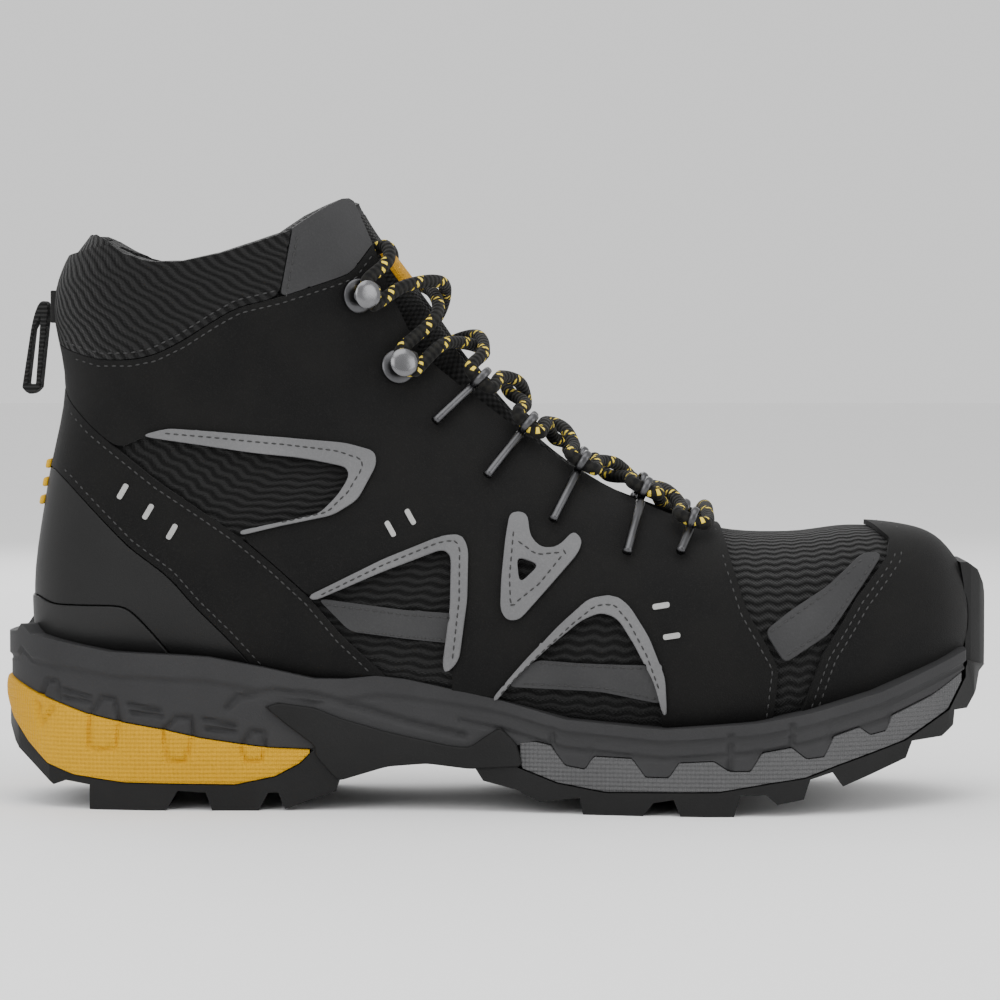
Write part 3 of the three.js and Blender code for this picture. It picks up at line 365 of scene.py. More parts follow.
def lace_half(first_side, height):
    spots = [ring for ring, _ in KEEPERS] + list(HOOKS.values())
    points = []
    for k, spot in enumerate(spots):
        side = first_side if k % 2 == 0 else -first_side
        points += round_hook(spot, side) if k >= len(KEEPERS) else through_eye(spot, side)
        if k + 1 < len(spots):
            points += crossing(spot, side, spots[k + 1], height)
    return points + tucked_end(spots[-1], side)


first_s, first_turn = locate(*KEEPERS[0][0])
bottom_bar = [skin(first_s - 0.25, first_turn + (math.pi - 2 * first_turn) * t, LACE_EDGE)
              for t in (0.3, 0.5, 0.7)]
LACE_POINTS = lace_half(-1, LACE_OVER)[::-1] + bottom_bar + lace_half(1, LACE_UNDER)


def smooth_line(points, step):
    """A Catmull-Rom curve through the points, in even steps."""
    points = np.asarray(points)
    ends = np.vstack([2 * points[0] - points[1], points, 2 * points[-1] - points[-2]])
    dense = []
    for i in range(1, len(ends) - 2):
        p0, p1, p2, p3 = ends[i - 1:i + 3]
        for t in np.arange(0, 1, 0.05):
            v0, v1 = (p2 - p0) / 2, (p3 - p1) / 2
            dense.append(p1 + t * (v0 + t * (3 * (p2 - p1) - 2 * v0 - v1 + t * (2 * (p1 - p2) + v0 + v1))))
    dense = np.array(dense + [ends[-2]])
    run = np.concatenate([[0], np.cumsum(np.linalg.norm(np.diff(dense, axis=0), axis=1))])
    even = np.linspace(0, run[-1], int(run[-1] / step) + 1)
    return np.stack([np.interp(even, run, dense[:, k]) for k in range(3)], -1), run[-1]


def link(name, bm, *finishes):
    """A finished bmesh as an object of its own, at the origin."""
    mesh = bpy.data.meshes.new(name)
    bm.to_mesh(mesh)
    bm.free()
    mesh.polygons.foreach_set("use_smooth", [True] * len(mesh.polygons))
    for finish in finishes:
        mesh.materials.append(finish)
    made = bpy.data.objects.new(name, mesh)
    bpy.context.scene.collection.objects.link(made)
    return made


def joined(bm, other):
    """The first bmesh with the other's shapes added to it."""
    spare = bpy.data.meshes.new("spare")
    other.to_mesh(spare)
    other.free()
    bm.from_mesh(spare)
    bpy.data.meshes.remove(spare)
    return bm


def cord_tube(line, radius, sides):
    """A round tube along a line, its pattern in metres along it and turns around it."""
    bm = bmesh.new()
    laid = bm.loops.layers.uv.new("pattern")
    tangents = np.gradient(line, axis=0)
    normal = Vector(tangents[0]).orthogonal().normalized()
    ring = bmesh.ops.create_circle(bm, cap_ends=False, segments=sides, radius=radius)["verts"]
    rings = [ring]
    edges = list({edge for v in ring for edge in v.link_edges})
    for _ in range(len(line) - 1):
        grown = bmesh.ops.extrude_edge_only(bm, edges=edges)["geom"]
        edges = [g for g in grown if isinstance(g, bmesh.types.BMEdge) and not g.link_faces[1:]]
        new = {v for edge in edges for v in edge.verts}
        follow = [next(e.other_vert(v) for e in v.link_edges if e.other_vert(v) in new) for v in rings[-1]]
        rings.append(follow)
    for k, (centre, tangent) in enumerate(zip(line, tangents)):
        tangent = Vector(tangent).normalized()
        normal = (normal - tangent * normal.dot(tangent)).normalized()
        binormal = tangent.cross(normal)
        for j, v in enumerate(rings[k]):
            angle = 2 * math.pi * j / sides
            v.co = Vector(centre) + radius * (math.cos(angle) * normal + math.sin(angle) * binormal)
    where = {v: (k, j) for k, ring in enumerate(rings) for j, v in enumerate(ring)}
    step = float(np.linalg.norm(line[1] - line[0]))
    for face in bm.faces:
        around = [where[loop.vert][1] for loop in face.loops]
        wraps = max(around) - min(around) > 1
        for loop, j in zip(face.loops, around):
            loop[laid].uv = (where[loop.vert][0] * step, (j + sides if wraps and j == 0 else j) / sides)
    for ring in (rings[0], rings[-1]):
        bmesh.ops.contextual_create(bm, geom=ring)
    bmesh.ops.recalc_face_normals(bm, faces=bm.faces[:])
    return bm


def lace_finish():
    made = Finish("braided_lace", Roughness=0.85, Sheen_Weight=0.05, Specular_IOR_Level=0.15)
    run, turn = made.pattern()
    around = turn * (2 * math.pi)
    right = (run.turns(BRAID) + around * 2).sine()
    left = (run.turns(BRAID) - around * 2).sine()
    weave = right * left
    strand = (run.turns(TRACER) + around).sine().above(0.8, 0.06)
    ticks = (run.turns(TICK) - around * 2).sine().above(0.25, 0.12)
    fleck = strand * ticks
    ground = made.blend(weave.above(0.0, 0.5), 0.004, (0.012, 0.0115, 0.010))
    made.colour(fleck, ground, (0.78, 0.58, 0.06))
    made.relief(weave * 0.6 + made.noise(3000.0) * 0.3, 0.35)
    return made.material


lace_line, lace_length = smooth_line(LACE_POINTS, 1.2)
lace_line = row(lace_line)
lace = link("lace_cord", cord_tube(lace_line, LACE * MM / 2, 14), lace_finish())
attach(lace, "boot")
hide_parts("lace")

# ---- Upper shell ----
# The boot's body: a ribbed black mesh fabric with a foam backing, pulled over the last and open along the
# throat and the collar. It shows in the windows of the leather and over the toes.
FEATHER = [(-5, 49), (11.5, 49), (35, 48), (57, 47), (65, 46.5), (81, 43.5), (97, 40), (106.5, 40),
           (115.5, 41), (124.5, 40), (153, 34), (172.5, 28.5), (202, 26), (230.5, 28), (247, 31),
           (268.5, 36.5), (284.5, 42.5), (297.5, 47.5), (320, 57)]
TOPLINE = [(10, 174.5), (30, 174.5), (33, 173), (40, 168.5), (47.5, 166), (57, 166), (69, 168.5), (80, 172),
           (88.5, 175), (97, 181), (104, 185), (107, 185), (113, 178.5), (125, 172), (126, 400)]
HEEL_BACK = [(14.5, 46.5), (10.4, 66), (14.4, 97), (20, 127), (16.8, 151), (20, 165), (27.5, 176), (36, 192)]
RIB, RIB_RIPPLE, KNIT = 0.0031, 0.0062, 0.0011  # spacings in the mesh fabric, in metres
SHELL_IN = -1.8
TUCKED = 3.0  # how far the upper runs down behind the sole's rim
THROAT_FOOT, THROAT_HEAD = np.array([214.0, 86.0]), np.array([100.0, 200.0])


def soften(points, reach=4.0):
    """The corners of an outline, rounded as a cutting die rounds them."""
    points = [Vector(p) for p in points]
    curve = []
    for before, corner, after in zip(points[-1:] + points[:-1], points, points[1:] + points[:1]):
        ends = [corner.lerp(end, min(reach / max((end - corner).length, 1e-6), 0.45))
                for end in (before, after)]
        curve += [ends[0].lerp(corner, t).lerp(corner.lerp(ends[1], t), t) for t in (0, 0.25, 0.5, 0.75, 1)]
    return curve


def densify(points, step=2.0, closed=True):
    points = [Vector(p) for p in points]
    dense = []
    for a, b in zip(points, points[1:] + points[:1] if closed else points[1:]):
        count = max(1, math.ceil((b - a).length / step))
        dense += [a.lerp(b, k / count) for k in range(count)]
    return np.array([tuple(p) for p in dense])


def beside(line, gap):
    """A line moved to the left of the way it runs."""
    points = [Vector(p) for p in line]
    ways = [(b - a).normalized() for a, b in zip(points, points[1:])]
    moved = []
    for point, before, after in zip(points, ways[:1] + ways, ways + ways[-1:]):
        left = Vector((-before.y - after.y, before.x + after.x)).normalized()
        moved.append(tuple(point + left * gap / max(left.dot(Vector((-before.y, before.x))), 0.4)))
    return moved


def throat_turn(s, side):
    """The turn at which the lacing gap's edge crosses the stations s."""
    s = np.asarray(s, float)
    up = (THROAT_HEAD - THROAT_FOOT) / np.linalg.norm(THROAT_HEAD - THROAT_FOOT)
    run = np.linalg.norm(THROAT_HEAD - THROAT_FOOT)

    def outside(turn):
        p = bare_last(s, sided(turn, side))
        d = (p[..., 0] - THROAT_FOOT[0]) * up[0] + (p[..., 2] - THROAT_FOOT[1]) * up[1]
        half = np.interp(d, [-4, THROAT_BASE / 2, run], [0.6 * THROAT_BASE, THROAT_BASE, THROAT_TOP])
        return (np.abs(p[..., 1] + 1.5) > half) | (d < -4)

    low, high = np.zeros_like(s), np.full_like(s, QUARTER_TURN)
    closed = outside(high)
    for _ in range(25):
        middle = (low + high) / 2
        clear = outside(middle)
        low, high = np.where(clear, middle, low), np.where(clear, high, middle)
    return np.where(closed, QUARTER_TURN, low)


def skin_ring(points, side=-1, throat=True):
    """A side outline as stations and turns, kept inside the boot's own edges."""
    x, z = np.asarray(points).T
    x = np.maximum(x, np.interp(z, *np.array(HEEL_BACK)[:, ::-1].T))
    z = np.maximum(z, np.interp(x, *np.array(FEATHER).T) - TUCKED)
    z = np.minimum(z, np.interp(x, *np.array(TOPLINE).T))
    s, turn = locate(x, z)
    if throat:
        turn = np.minimum(turn, throat_turn(s, side))
    return s, sided(turn, side)


GRID = (0.2, 0.09)
DOUBLED_BACK = -0.97  # the cosine past which an outline runs back along itself


def trimmed(spots):
    """An outline ring without repeats, and without stretches that run out and back along one line."""
    kept = []
    for spot in map(Vector, spots):
        if kept and (spot - kept[-1]).length < 1e-3:
            continue
        while len(kept) > 1:
            before, after = kept[-1] - kept[-2], spot - kept[-1]
            if before.normalized().dot(after.normalized()) > DOUBLED_BACK:
                break
            kept.pop()
        kept.append(spot)
    return kept


def cut_pattern(rings, steps=GRID):
    """A flat pattern filled between its outline rings and divided along the grid of its form."""
    bm = bmesh.new()
    for ring in rings:
        verts = [bm.verts.new((*spot, 0)) for spot in trimmed(zip(*ring))]
        for pair in zip(verts, verts[1:] + verts[:1]):
            bm.edges.new(pair)
    bmesh.ops.triangle_fill(bm, use_beauty=True, edges=bm.edges[:])
    for axis, step in enumerate(steps):
        places = [v.co[axis] for v in bm.verts]
        across = Vector((1 - axis, axis, 0))
        for k in range(math.floor(min(places) / step) + 1, math.ceil(max(places) / step)):
            geometry = bm.verts[:] + bm.edges[:] + bm.faces[:]
            bmesh.ops.bisect_plane(bm, geom=geometry, dist=1e-5, plane_co=across * k * step,
                                   plane_no=across)

    def on_grid(edge):
        a, b = (v.co for v in edge.verts)
        return any(abs(a[i] - b[i]) < 1e-4 and abs(a[i] / steps[i] - round(a[i] / steps[i])) < 1e-2
                   for i in (0, 1))

    spare = [edge for edge in bm.edges if not edge.is_boundary and not on_grid(edge)]
    bmesh.ops.dissolve_edges(bm, edges=spare, use_verts=False)
    spare = [v for v in bm.verts if len(v.link_edges) == 2 and not v.is_boundary]
    bmesh.ops.dissolve_verts(bm, verts=spare)
    return bm


def mirrored(bm, fold):
    """The pattern and its mirror image beyond the fold, sewn together along it."""
    twin = bmesh.ops.duplicate(bm, geom=bm.verts[:] + bm.edges[:] + bm.faces[:])["geom"]
    verts = [g for g in twin if isinstance(g, bmesh.types.BMVert)]
    space = Matrix.Translation((0, -fold, 0))
    bmesh.ops.scale(bm, vec=(1, -1, 1), space=space, verts=verts)
    bmesh.ops.reverse_faces(bm, faces=[g for g in twin if isinstance(g, bmesh.types.BMFace)])
    bmesh.ops.remove_doubles(bm, verts=bm.verts[:], dist=1e-4)
    return bm


girth_turns = np.linspace(-math.pi, 2 * math.pi, 361)
girth_stations = np.linspace(0, LAST_END, 81)
girth_points = bare_last(girth_stations[:, None], girth_turns[None, :])
girth_steps = np.diff(girth_points, axis=1, prepend=girth_points[:, :1])
girth_run = np.cumsum(np.linalg.norm(girth_steps, axis=2), axis=1)
girth_run += (girth_points[:, 120, 2] - girth_run[:, 120])[:, None]
side_steps = np.diff(girth_points[:, 140], axis=0, prepend=girth_points[:1, 140])
side_run = np.cumsum(np.linalg.norm(side_steps, axis=1))


def on_cloth(s, turn):
    """Metres along the boot and up round it, for the fabrics' weave."""
    k = np.clip(np.asarray(s) * 4, 0, 79.999)
    j = np.clip((np.asarray(turn) + math.pi) / (3 * math.pi) * 360, 0, 359.999)
    k0, j0 = k.astype(int), j.astype(int)
    dk, dj = k - k0, j - j0
    up = sum(girth_run[k0 + a, j0 + b] * (dk if a else 1 - dk) * (dj if b else 1 - dj)
             for a in (0, 1) for b in (0, 1))
    return np.interp(s, girth_stations, side_run) * MM, up * MM


def laid(bm, form, outer, inner, cloth=on_cloth, weld=0.5):
    """The flat pattern laid on its form, and given its thickness as one closed body."""
    u_key, v_key = (bm.verts.layers.float.new(key) for key in ("u", "v"))
    for v in bm.verts:
        v[u_key], v[v_key] = v.co.x, v.co.y

    def move(verts, out):
        u, v = np.array([(p[u_key], p[v_key]) for p in verts]).T
        for vert, place in zip(verts, row(form(u, v, out(u, v) if callable(out) else out))):
            vert.co = place

    pattern = bm.loops.layers.uv.new("pattern")
    u, v = np.array([(p[u_key], p[v_key]) for p in bm.verts]).T
    places = dict(zip(bm.verts, zip(*cloth(u, v))))
    for face in bm.faces:
        for loop in face.loops:
            loop[pattern].uv = places[loop.vert]
    move(bm.verts[:], outer)
    bmesh.ops.remove_doubles(bm, verts=bm.verts[:], dist=weld * MM)
    bmesh.ops.dissolve_degenerate(bm, dist=1e-5, edges=bm.edges[:])
    stray = [edge for edge in bm.edges if not edge.link_faces]
    bmesh.ops.delete(bm, geom=stray, context="EDGES")
    bmesh.ops.delete(bm, geom=[v for v in bm.verts if not v.link_faces], context="VERTS")
    grown = bmesh.ops.extrude_face_region(bm, geom=bm.faces[:])["geom"]
    move([g for g in grown if isinstance(g, bmesh.types.BMVert)], inner)
    bmesh.ops.recalc_face_normals(bm, faces=bm.faces[:])
    return bm


def round_edges(piece, width, angle, segments):
    bevel = piece.modifiers.new("rounded_edges", "BEVEL")
    bevel.width = width * MM
    bevel.segments = segments
    bevel.limit_method = "ANGLE"
    bevel.angle_limit = math.radians(angle)
    bevel.use_clamp_overlap = True
    piece.data.set_sharp_from_angle(angle=math.radians(60))


def fit(piece, body, slot, *nodes):
    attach(piece, body)
    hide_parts(*nodes)


def dressed(piece, finish, slot, *nodes, edge=0.45, angle=45, segments=2, body="boot"):
    """A piece with its finish, its edges rounded and its place in the assembly."""
    piece.data.materials.append(finish)
    round_edges(piece, edge, angle, segments)
    fit(piece, body, slot, *nodes)
    return piece


def ribbed_mesh_finish():
    made = Finish("ribbed_mesh", Sheen_Weight=0.05, Sheen_Roughness=0.5, Specular_IOR_Level=0.22)
    run, up = made.pattern()
    wave = run.wave(RIB_RIPPLE) * 0.9 + made.noise(60.0) * 2.2
    rib = (up.turns(RIB) + wave).sine()
    knit = run.wave(KNIT) * up.wave(KNIT)
    made.colour(rib.above(0.1, 0.7), 0.0022, 0.0105)
    made.relief(rib * 0.5 + knit * 0.16, 0.9)
    made.rough(rib.above(0.0, 0.8), 0.95, 0.78)
    return made.material


def shell_half(side):
    """Half of the upper's outline: along the top line, down the throat to the toe and back below."""
    edge = densify([(27, 174.5), (30, 174.5), *TOPLINE[2:-1]], closed=False)
    s_edge, t_edge = skin_ring(edge, side)
    top = float(s_edge[-1])
    down = np.arange(top, 0, -GRID[0] / 2)
    inner = sided(throat_turn(down, side), side)
    back = np.arange(0, s_edge[0], GRID[0] / 2)
    heel = sided(np.full_like(back, -QUARTER_TURN), side)
    return np.concatenate([s_edge, down, back]), np.concatenate([t_edge, inner, heel])


def whole_upper(outer, inner):
    bm = joined(cut_pattern([shell_half(-1)]), cut_pattern([shell_half(1)]))
    bmesh.ops.remove_doubles(bm, verts=bm.verts[:], dist=1e-4)
    bmesh.ops.recalc_face_normals(bm, faces=bm.faces[:])
    return laid(bm, skin, outer, inner)


ribbed_mesh = ribbed_mesh_finish()
shell = link("upper_mesh_shell", whole_upper(0.0, SHELL_IN))
dressed(shell, ribbed_mesh, "black_mesh", "upper_shell", edge=0.4)

# ---- Leather overlays ----
# Black nubuck, 1.4 mm thick, die cut, glued and sewn over the mesh: a strap down from the heel to the
# arch, the big windowed quarters with the lace facing, and the toe guard. Every cut edge is bare.
SHELL_OUT = GAP
STRAP_TOP = [(5, 132.5), (18.5, 132.5), (21.5, 124.5), (30, 115.5), (50, 99.5), (61, 92), (74, 83), (85, 74),
             (96, 64), (105.5, 53), (119, 41), (128, 20)]
STRAP_LOW = [(5, 103.5), (17, 103.5), (22, 99.5), (41, 80), (53, 71), (61, 62), (71.5, 52), (79, 44),
             (92, 20)]
COLLAR_LOW = [(5, 147), (14, 144.5), (22.5, 139.5), (32.5, 136.5), (42, 136.5), (49, 138), (57, 142),
              (67, 148.5), (74, 152.5), (86, 155.5)]
COLLAR_FRONT_LOW = [(86, 155.5), (102.5, 161), (107, 162.8), (112, 170), (122, 182)]
GUARD_EDGE = [(238, 18), (243.5, 31), (250, 48), (260.5, 64), (271, 76), (272, 80.5), (268, 84), (262, 88),
              (258, 100)]
REAR_NOTCH = [(74.3, 83.4), (86, 87.5), (101, 90.5), (108.5, 98), (112, 103.5), (111, 106), (100, 108.5),
              (85, 111), (66, 113), (53, 114.5), (44, 112.5), (38.2, 109.4)]
MID_NOTCH = [(138, 20), (139.2, 45.5), (140.7, 62), (141.3, 78), (139.5, 81), (134.5, 80.3), (118, 74.3),
             (96.4, 64.3)]
FRONT_NOTCH = [(202.6, 20), (200.8, 41), (196, 52), (190.5, 60), (187, 62.6), (182, 62.3), (174.5, 57.5),
               (165.5, 49.3), (152, 36), (150.6, 20)]
WING_HOLE = [(158, 76.5), (165, 74), (159, 68.5)]
QUARTER_FRONT = [(221.5, 100), (220, 87), (223, 73.5), (227, 60.5), (236.5, 44), (233.5, 20)]
strap_edge = beside(STRAP_TOP, GAP)
QUARTER = [*beside(COLLAR_LOW, -GAP), *beside(COLLAR_FRONT_LOW, -GAP)[1:], *QUARTER_FRONT,
           *FRONT_NOTCH, *MID_NOTCH, strap_edge[7], *REAR_NOTCH, strap_edge[3], strap_edge[2],
           strap_edge[1], strap_edge[0]]


def nubuck_finish():
    made = Finish("black_nubuck", Sheen_Weight=0.04, Sheen_Roughness=0.45, Specular_IOR_Level=0.14)
    nap, cloud = made.noise(2600.0, 4.0), made.noise(55.0, 3.0)
    tone = made.blend(cloud.above(0.5, 0.28), (0.0035, 0.0035, 0.0036), (0.0075, 0.0073, 0.0070))
    made.colour(nap.above(0.62, 0.16) * 0.5, tone, (0.018, 0.0175, 0.017))
    made.rough(cloud, 0.72, 0.96)
    made.relief(nap + cloud * 0.4, 0.14)
    return made.material


def side_panel(name, points, side, outer, inner, holes=(), reach=4.0):
    rings = [skin_ring(densify(soften(ring, reach)), side) for ring in (points, *holes)]
    return link(name, laid(cut_pattern(rings), skin, outer, inner))


def wrapped_panel(name, points, outer, inner):
    """A panel that runs round the heel from one side to the other."""
    outline = densify(soften(points))
    s, turn = skin_ring(outline, throat=False)
    at_fold = outline[:, 0] < np.interp(outline[:, 1], *np.array(HEEL_BACK)[:, ::-1].T) + 0.3
    ring = s, np.where(at_fold, -QUARTER_TURN, turn)
    return link(name, laid(mirrored(cut_pattern([ring]), -QUARTER_TURN), skin, outer, inner))


nubuck = nubuck_finish()
heel_strap = wrapped_panel("heel_strap_nubuck", [*STRAP_TOP, *STRAP_LOW[::-1]], OVERLAY_OUT, SHELL_OUT)
dressed(heel_strap, nubuck, "black_nubuck", "heel_strap")
for name, side in SIDES.items():
    quarter = side_panel("quarter_nubuck_" + name, QUARTER, side, OVERLAY_OUT, SHELL_OUT, [WING_HOLE])
    dressed(quarter, nubuck, "black_nubuck", "quarter_" + name)


def guard_ring():
    """The toe guard's outer half: up its rear edge to the top line, and round the toe."""
    edge_s, edge_t = skin_ring(densify(GUARD_EDGE[:-2] + [(262.2, 86)], closed=False), throat=False)
    rear = edge_t.argmax()
    edge_s, edge_t = edge_s[:rear + 1], edge_t[:rear + 1]
    ahead = np.arange(edge_s[-1] - 0.1, 0.05, -0.1)
    feather = densify([(299, 47.8), (284.5, 42.5), (268.5, 36.5), (247, 31), (245, 30)], closed=False)
    feather_s, feather_t = skin_ring(feather, throat=False)
    toe = np.arange(0.1, feather_s[0], 0.1)
    top, under = np.full_like(ahead, QUARTER_TURN), np.full_like(toe, -QUARTER_TURN)
    return np.concatenate([edge_s, ahead, toe, feather_s]), np.concatenate([edge_t, top, under, feather_t])


guard = link("toe_guard_nubuck", laid(mirrored(cut_pattern([guard_ring()]), QUARTER_TURN), skin,
                                      OVERLAY_OUT, SHELL_OUT))
dressed(guard, nubuck, "black_nubuck", "toe_guard")

# ---- Dark grey overlays ----
# Smooth dark grey microfibre: the collar's front corners beside the throat, a band low in each of the two
# lower windows, and a strip from the vamp to the toe guard. Each is sewn down along both long edges.
COLLAR_SEAM = [(86, 155.5), (89.5, 175), (91, 200)]
BANDS = {
    "collar_front": [*beside(COLLAR_SEAM, -GAP), (122, 200), *COLLAR_FRONT_LOW[:0:-1]],
    "mid_band": [(98, 64.4), (124, 61), (140, 60), (139.3, 51), (124, 52.5), (108, 54.5)],
    "front_band": [(163.7, 46.3), (177.5, 45.3), (190, 45), (198.5, 45), (201.2, 37), (201.6, 33.5),
                   (183.5, 37), (155.5, 38.4)],
    "vamp_strip": [(232.2, 54.8), (240, 60.5), (252, 67.5), (263, 76.5), (269.5, 76.4), (259.9, 64.5),
                   (252, 54), (238.8, 45.8), (237.4, 46.6)],
}


def microfibre_finish(name, low, high):
    made = Finish(name, Specular_IOR_Level=0.2)
    grain, cloud = made.noise(1500.0, 5.0), made.noise(40.0, 2.0)
    made.colour(cloud.above(0.5, 0.3) * 0.6 + grain.above(0.6, 0.2) * 0.4, low, high)
    made.rough(grain, 0.5, 0.8)
    made.relief(grain, 0.12)
    return made.material


dark_grey = microfibre_finish("dark_grey_microfibre", (0.026, 0.026, 0.027), (0.044, 0.044, 0.045))
for name, side in SIDES.items():
    for band, outline in BANDS.items():
        piece = side_panel(band + "_microfibre_" + name, outline, side, OVERLAY_OUT, SHELL_OUT, reach=2.5)
        dressed(piece, dark_grey, "dark_grey_leather", band + "_" + name)

# ---- Grey trims ----
# Mid grey moulded edging 1 mm thick, laid over the rims of the windows and sewn through.
TRIMS = {
    "rear_trim": [(46, 113.8), (53, 115.8), (67, 114.8), (87, 113), (106.5, 110.5), (115, 108), (115.6, 104),
                  (110, 93.5), (102.5, 89), (87, 86), (75, 83.2), (74.3, 84.6), (98.5, 89.5), (104, 95),
                  (107.4, 100.5), (106.5, 103.4), (92, 106.5), (77, 108.5), (61, 111), (47, 113)],
    "mid_trim": [(95, 65), (118, 76), (135.5, 82.8), (141.5, 83.2), (143.6, 79), (143.4, 64), (141, 46),
                 (137, 42.2), (136, 45), (138.2, 61.5), (138.4, 77), (135.8, 78.8), (118, 72.3),
                 (97.2, 63.6)],
    "front_trim": [(151, 35.3), (162, 47.5), (171.5, 57), (180, 64.2), (187.5, 65.2), (192, 62), (198, 53),
                   (202.8, 41.5), (203.4, 30.5), (202, 31), (199.4, 40), (193.5, 51), (188.5, 58.5),
                   (183.5, 60.2), (177.5, 57.8), (169, 51), (158.5, 41.5), (152.4, 34.8)],
    "wing_trim": [(155.8, 89.5), (161, 89), (162, 82), (165.5, 78.7), (170.5, 79), (175, 83.5),
                  (177.8, 80.5), (176.5, 77), (165.5, 65), (159, 58), (155.3, 58), (153.3, 61), (153.5, 70),
                  (154.6, 82)],
}
TRIM_IN, TRIM_OUT = 2.0, 3.0
trim_grey = microfibre_finish("grey_trim", (0.11, 0.11, 0.113), (0.155, 0.155, 0.158))
for name, side in SIDES.items():
    for trim, outline in TRIMS.items():
        holes = [WING_HOLE] if trim == "wing_trim" else []
        piece = side_panel(trim + "_edging_" + name, outline, side, TRIM_OUT, TRIM_IN, holes, reach=2.5)
        dressed(piece, trim_grey, "grey_trim", trim + "_" + name, edge=0.35)

# ---- Heel panel, heel cup and padded collar ----
# A smooth moulded panel and a firmer cup hold the heel above the sole. Over them the collar is the ribbed
# mesh again, padded with soft foam.
CUP_TOP = [(0, 64), (12.5, 64), (17.5, 61.5), (37, 62), (41, 61), (47, 55), (53.5, 47.5), (70, 20)]


def moulded_finish(name, low, high):
    made = Finish(name, Specular_IOR_Level=0.25)
    grain, cloud = made.noise(2200.0, 2.0), made.noise(35.0, 2.0)
    made.colour(cloud.above(0.5, 0.3), low, high)
    made.rough(cloud * 0.7 + grain * 0.3, 0.42, 0.66)
    made.relief(grain, 0.05)
    return made.material


heel_panel = wrapped_panel("heel_panel_moulded", [*beside(STRAP_LOW, -GAP), *beside(CUP_TOP, GAP)[::-1]],
                           OVERLAY_OUT, SHELL_OUT)
dressed(heel_panel, moulded_finish("moulded_panel", 0.0045, 0.0080),
        "moulded_synthetic", "heel_panel")
heel_cup = wrapped_panel("heel_cup_moulded", [*CUP_TOP, (-5, 20)], OVERLAY_OUT + 0.6, SHELL_OUT)
dressed(heel_cup, moulded_finish("moulded_cup", 0.0085, 0.0130),
        "moulded_synthetic", "heel_cup", edge=0.8)
collar_outline = [*COLLAR_LOW, *COLLAR_SEAM[1:], (60, 200), (-5, 200)]
collar = wrapped_panel("collar_padded_mesh", collar_outline, OVERLAY_OUT, SHELL_OUT)
dressed(collar, ribbed_mesh, "black_mesh", "collar_mesh")

# ---- Midsole ----
# One moulded grey foam piece under the whole foot, seen as a rail round the boot with a rounded lip. Its
# lower edge steps down in teeth between the forefoot inserts, and shallow grooves mark it at the heel.
PLAN = np.array([
    [0.6, -1], [6, -19], [20, -33], [45, -39.5], [80, -40], [115, -40.5], [150, -44], [185, -52], [215, -57],
    [245, -54.5], [270, -43.5], [290, -26], [301, -9], [305, 8], [301, 22], [287, 40], [262, 52], [232, 56],
    [205, 52.5], [175, 43.5], [140, 35.5], [105, 34.5], [70, 37], [42, 37.5], [19, 31], [6, 17],
])
CUSHION_TOP = [(1, 38.5), (12.5, 34), (27.5, 29), (39, 26.5), (51, 24.5), (62, 22), (75, 20), (83, 19),
               (96, 18.5)]
TEETH = [(163.5, 21.5), (168, 20.5), (172.5, 14.5), (178.5, 13.5), (181, 17.5), (192.5, 17), (196.5, 11.5),
         (203.5, 11.5), (206.5, 16), (217, 16.5), (221.5, 13.5), (228, 13.5), (231.5, 19), (240.5, 20.5),
         (245, 17), (250.5, 17.5), (253.5, 23.5), (261.5, 26), (265, 23.5), (270, 24.5), (272, 29),
         (285, 34), (296, 40.5)]
ARCH_UNDER = [(98, 18), (110, 15), (150, 15.5), (158, 20)]  # the foam's lower edge behind the arch wedge
RAIL_TOP = [(-5, 51), (4.5, 53), (6, 55.5), (9.5, 52.5), (35, 48), *FEATHER[3:-1], (310, 47.5)]
RAIL_LOW = [*CUSHION_TOP, *ARCH_UNDER, *TEETH, (310, 41.5)]
RAIL_DEPTH = 15.0
BUMPER_BACK = 296.5
LIP_GROOVE = [(0, 8), (90, 8), (150, 4.5), (300, 4.5)]
SECOND_GROOVE = 9.0
HEEL_MARKS = [
    [(12.3, 33.5), (14.5, 38.7), (17.8, 38.7), (18.5, 33.5)],
    [(29, 29.5), (32.2, 34.1), (36.2, 33.5), (37.5, 26.9)],
    [(51.2, 24.3), (55.2, 28.2), (59.7, 27.9), (60.1, 23)],
    [(75.5, 20.4), (77.8, 24), (81.4, 23.6), (82, 19.7)],
    [(19.8, 36.1), (28.3, 34.1)], [(20.4, 33.5), (28.3, 32.5)], [(40.8, 32.1), (49.9, 30.2)],
    [(41.4, 29.6), (50.6, 28.3)], [(63.7, 27.6), (72.8, 25.6)], [(64.3, 24.6), (72.8, 23.6)],
]
ARCH_SCOOP = [(70.5, 31), (74, 34.5), (84, 36.2), (97, 35), (110, 31.5), (125, 27), (142, 23)]
RAIL_NOTCHES = [[(169, 25), (168, 20)], [(222, 24), (221.5, 13)], [(240.5, 27), (240.5, 20)]]

ahead, behind = np.roll(PLAN, -1, 0), np.roll(PLAN, 1, 0)
start_way, end_way = (ahead - behind) / 2, (np.roll(PLAN, -2, 0) - PLAN) / 2
share = np.arange(0, 1, 0.02)[:, None, None]
plan_line = PLAN + share * (start_way + share * (3 * (ahead - PLAN) - 2 * start_way - end_way
                                                 + share * (2 * (PLAN - ahead) + start_way + end_way)))
plan_line = plan_line.transpose(1, 0, 2).reshape(-1, 2)
plan_line = np.vstack([plan_line, plan_line[:1]])
plan_run = np.concatenate([[0], np.cumsum(np.linalg.norm(np.diff(plan_line, axis=0), axis=1))])
PLAN_ROUND = plan_run[-1]
toe_index = int(plan_line[:, 0].argmax())
TOE_RUN = plan_run[toe_index]


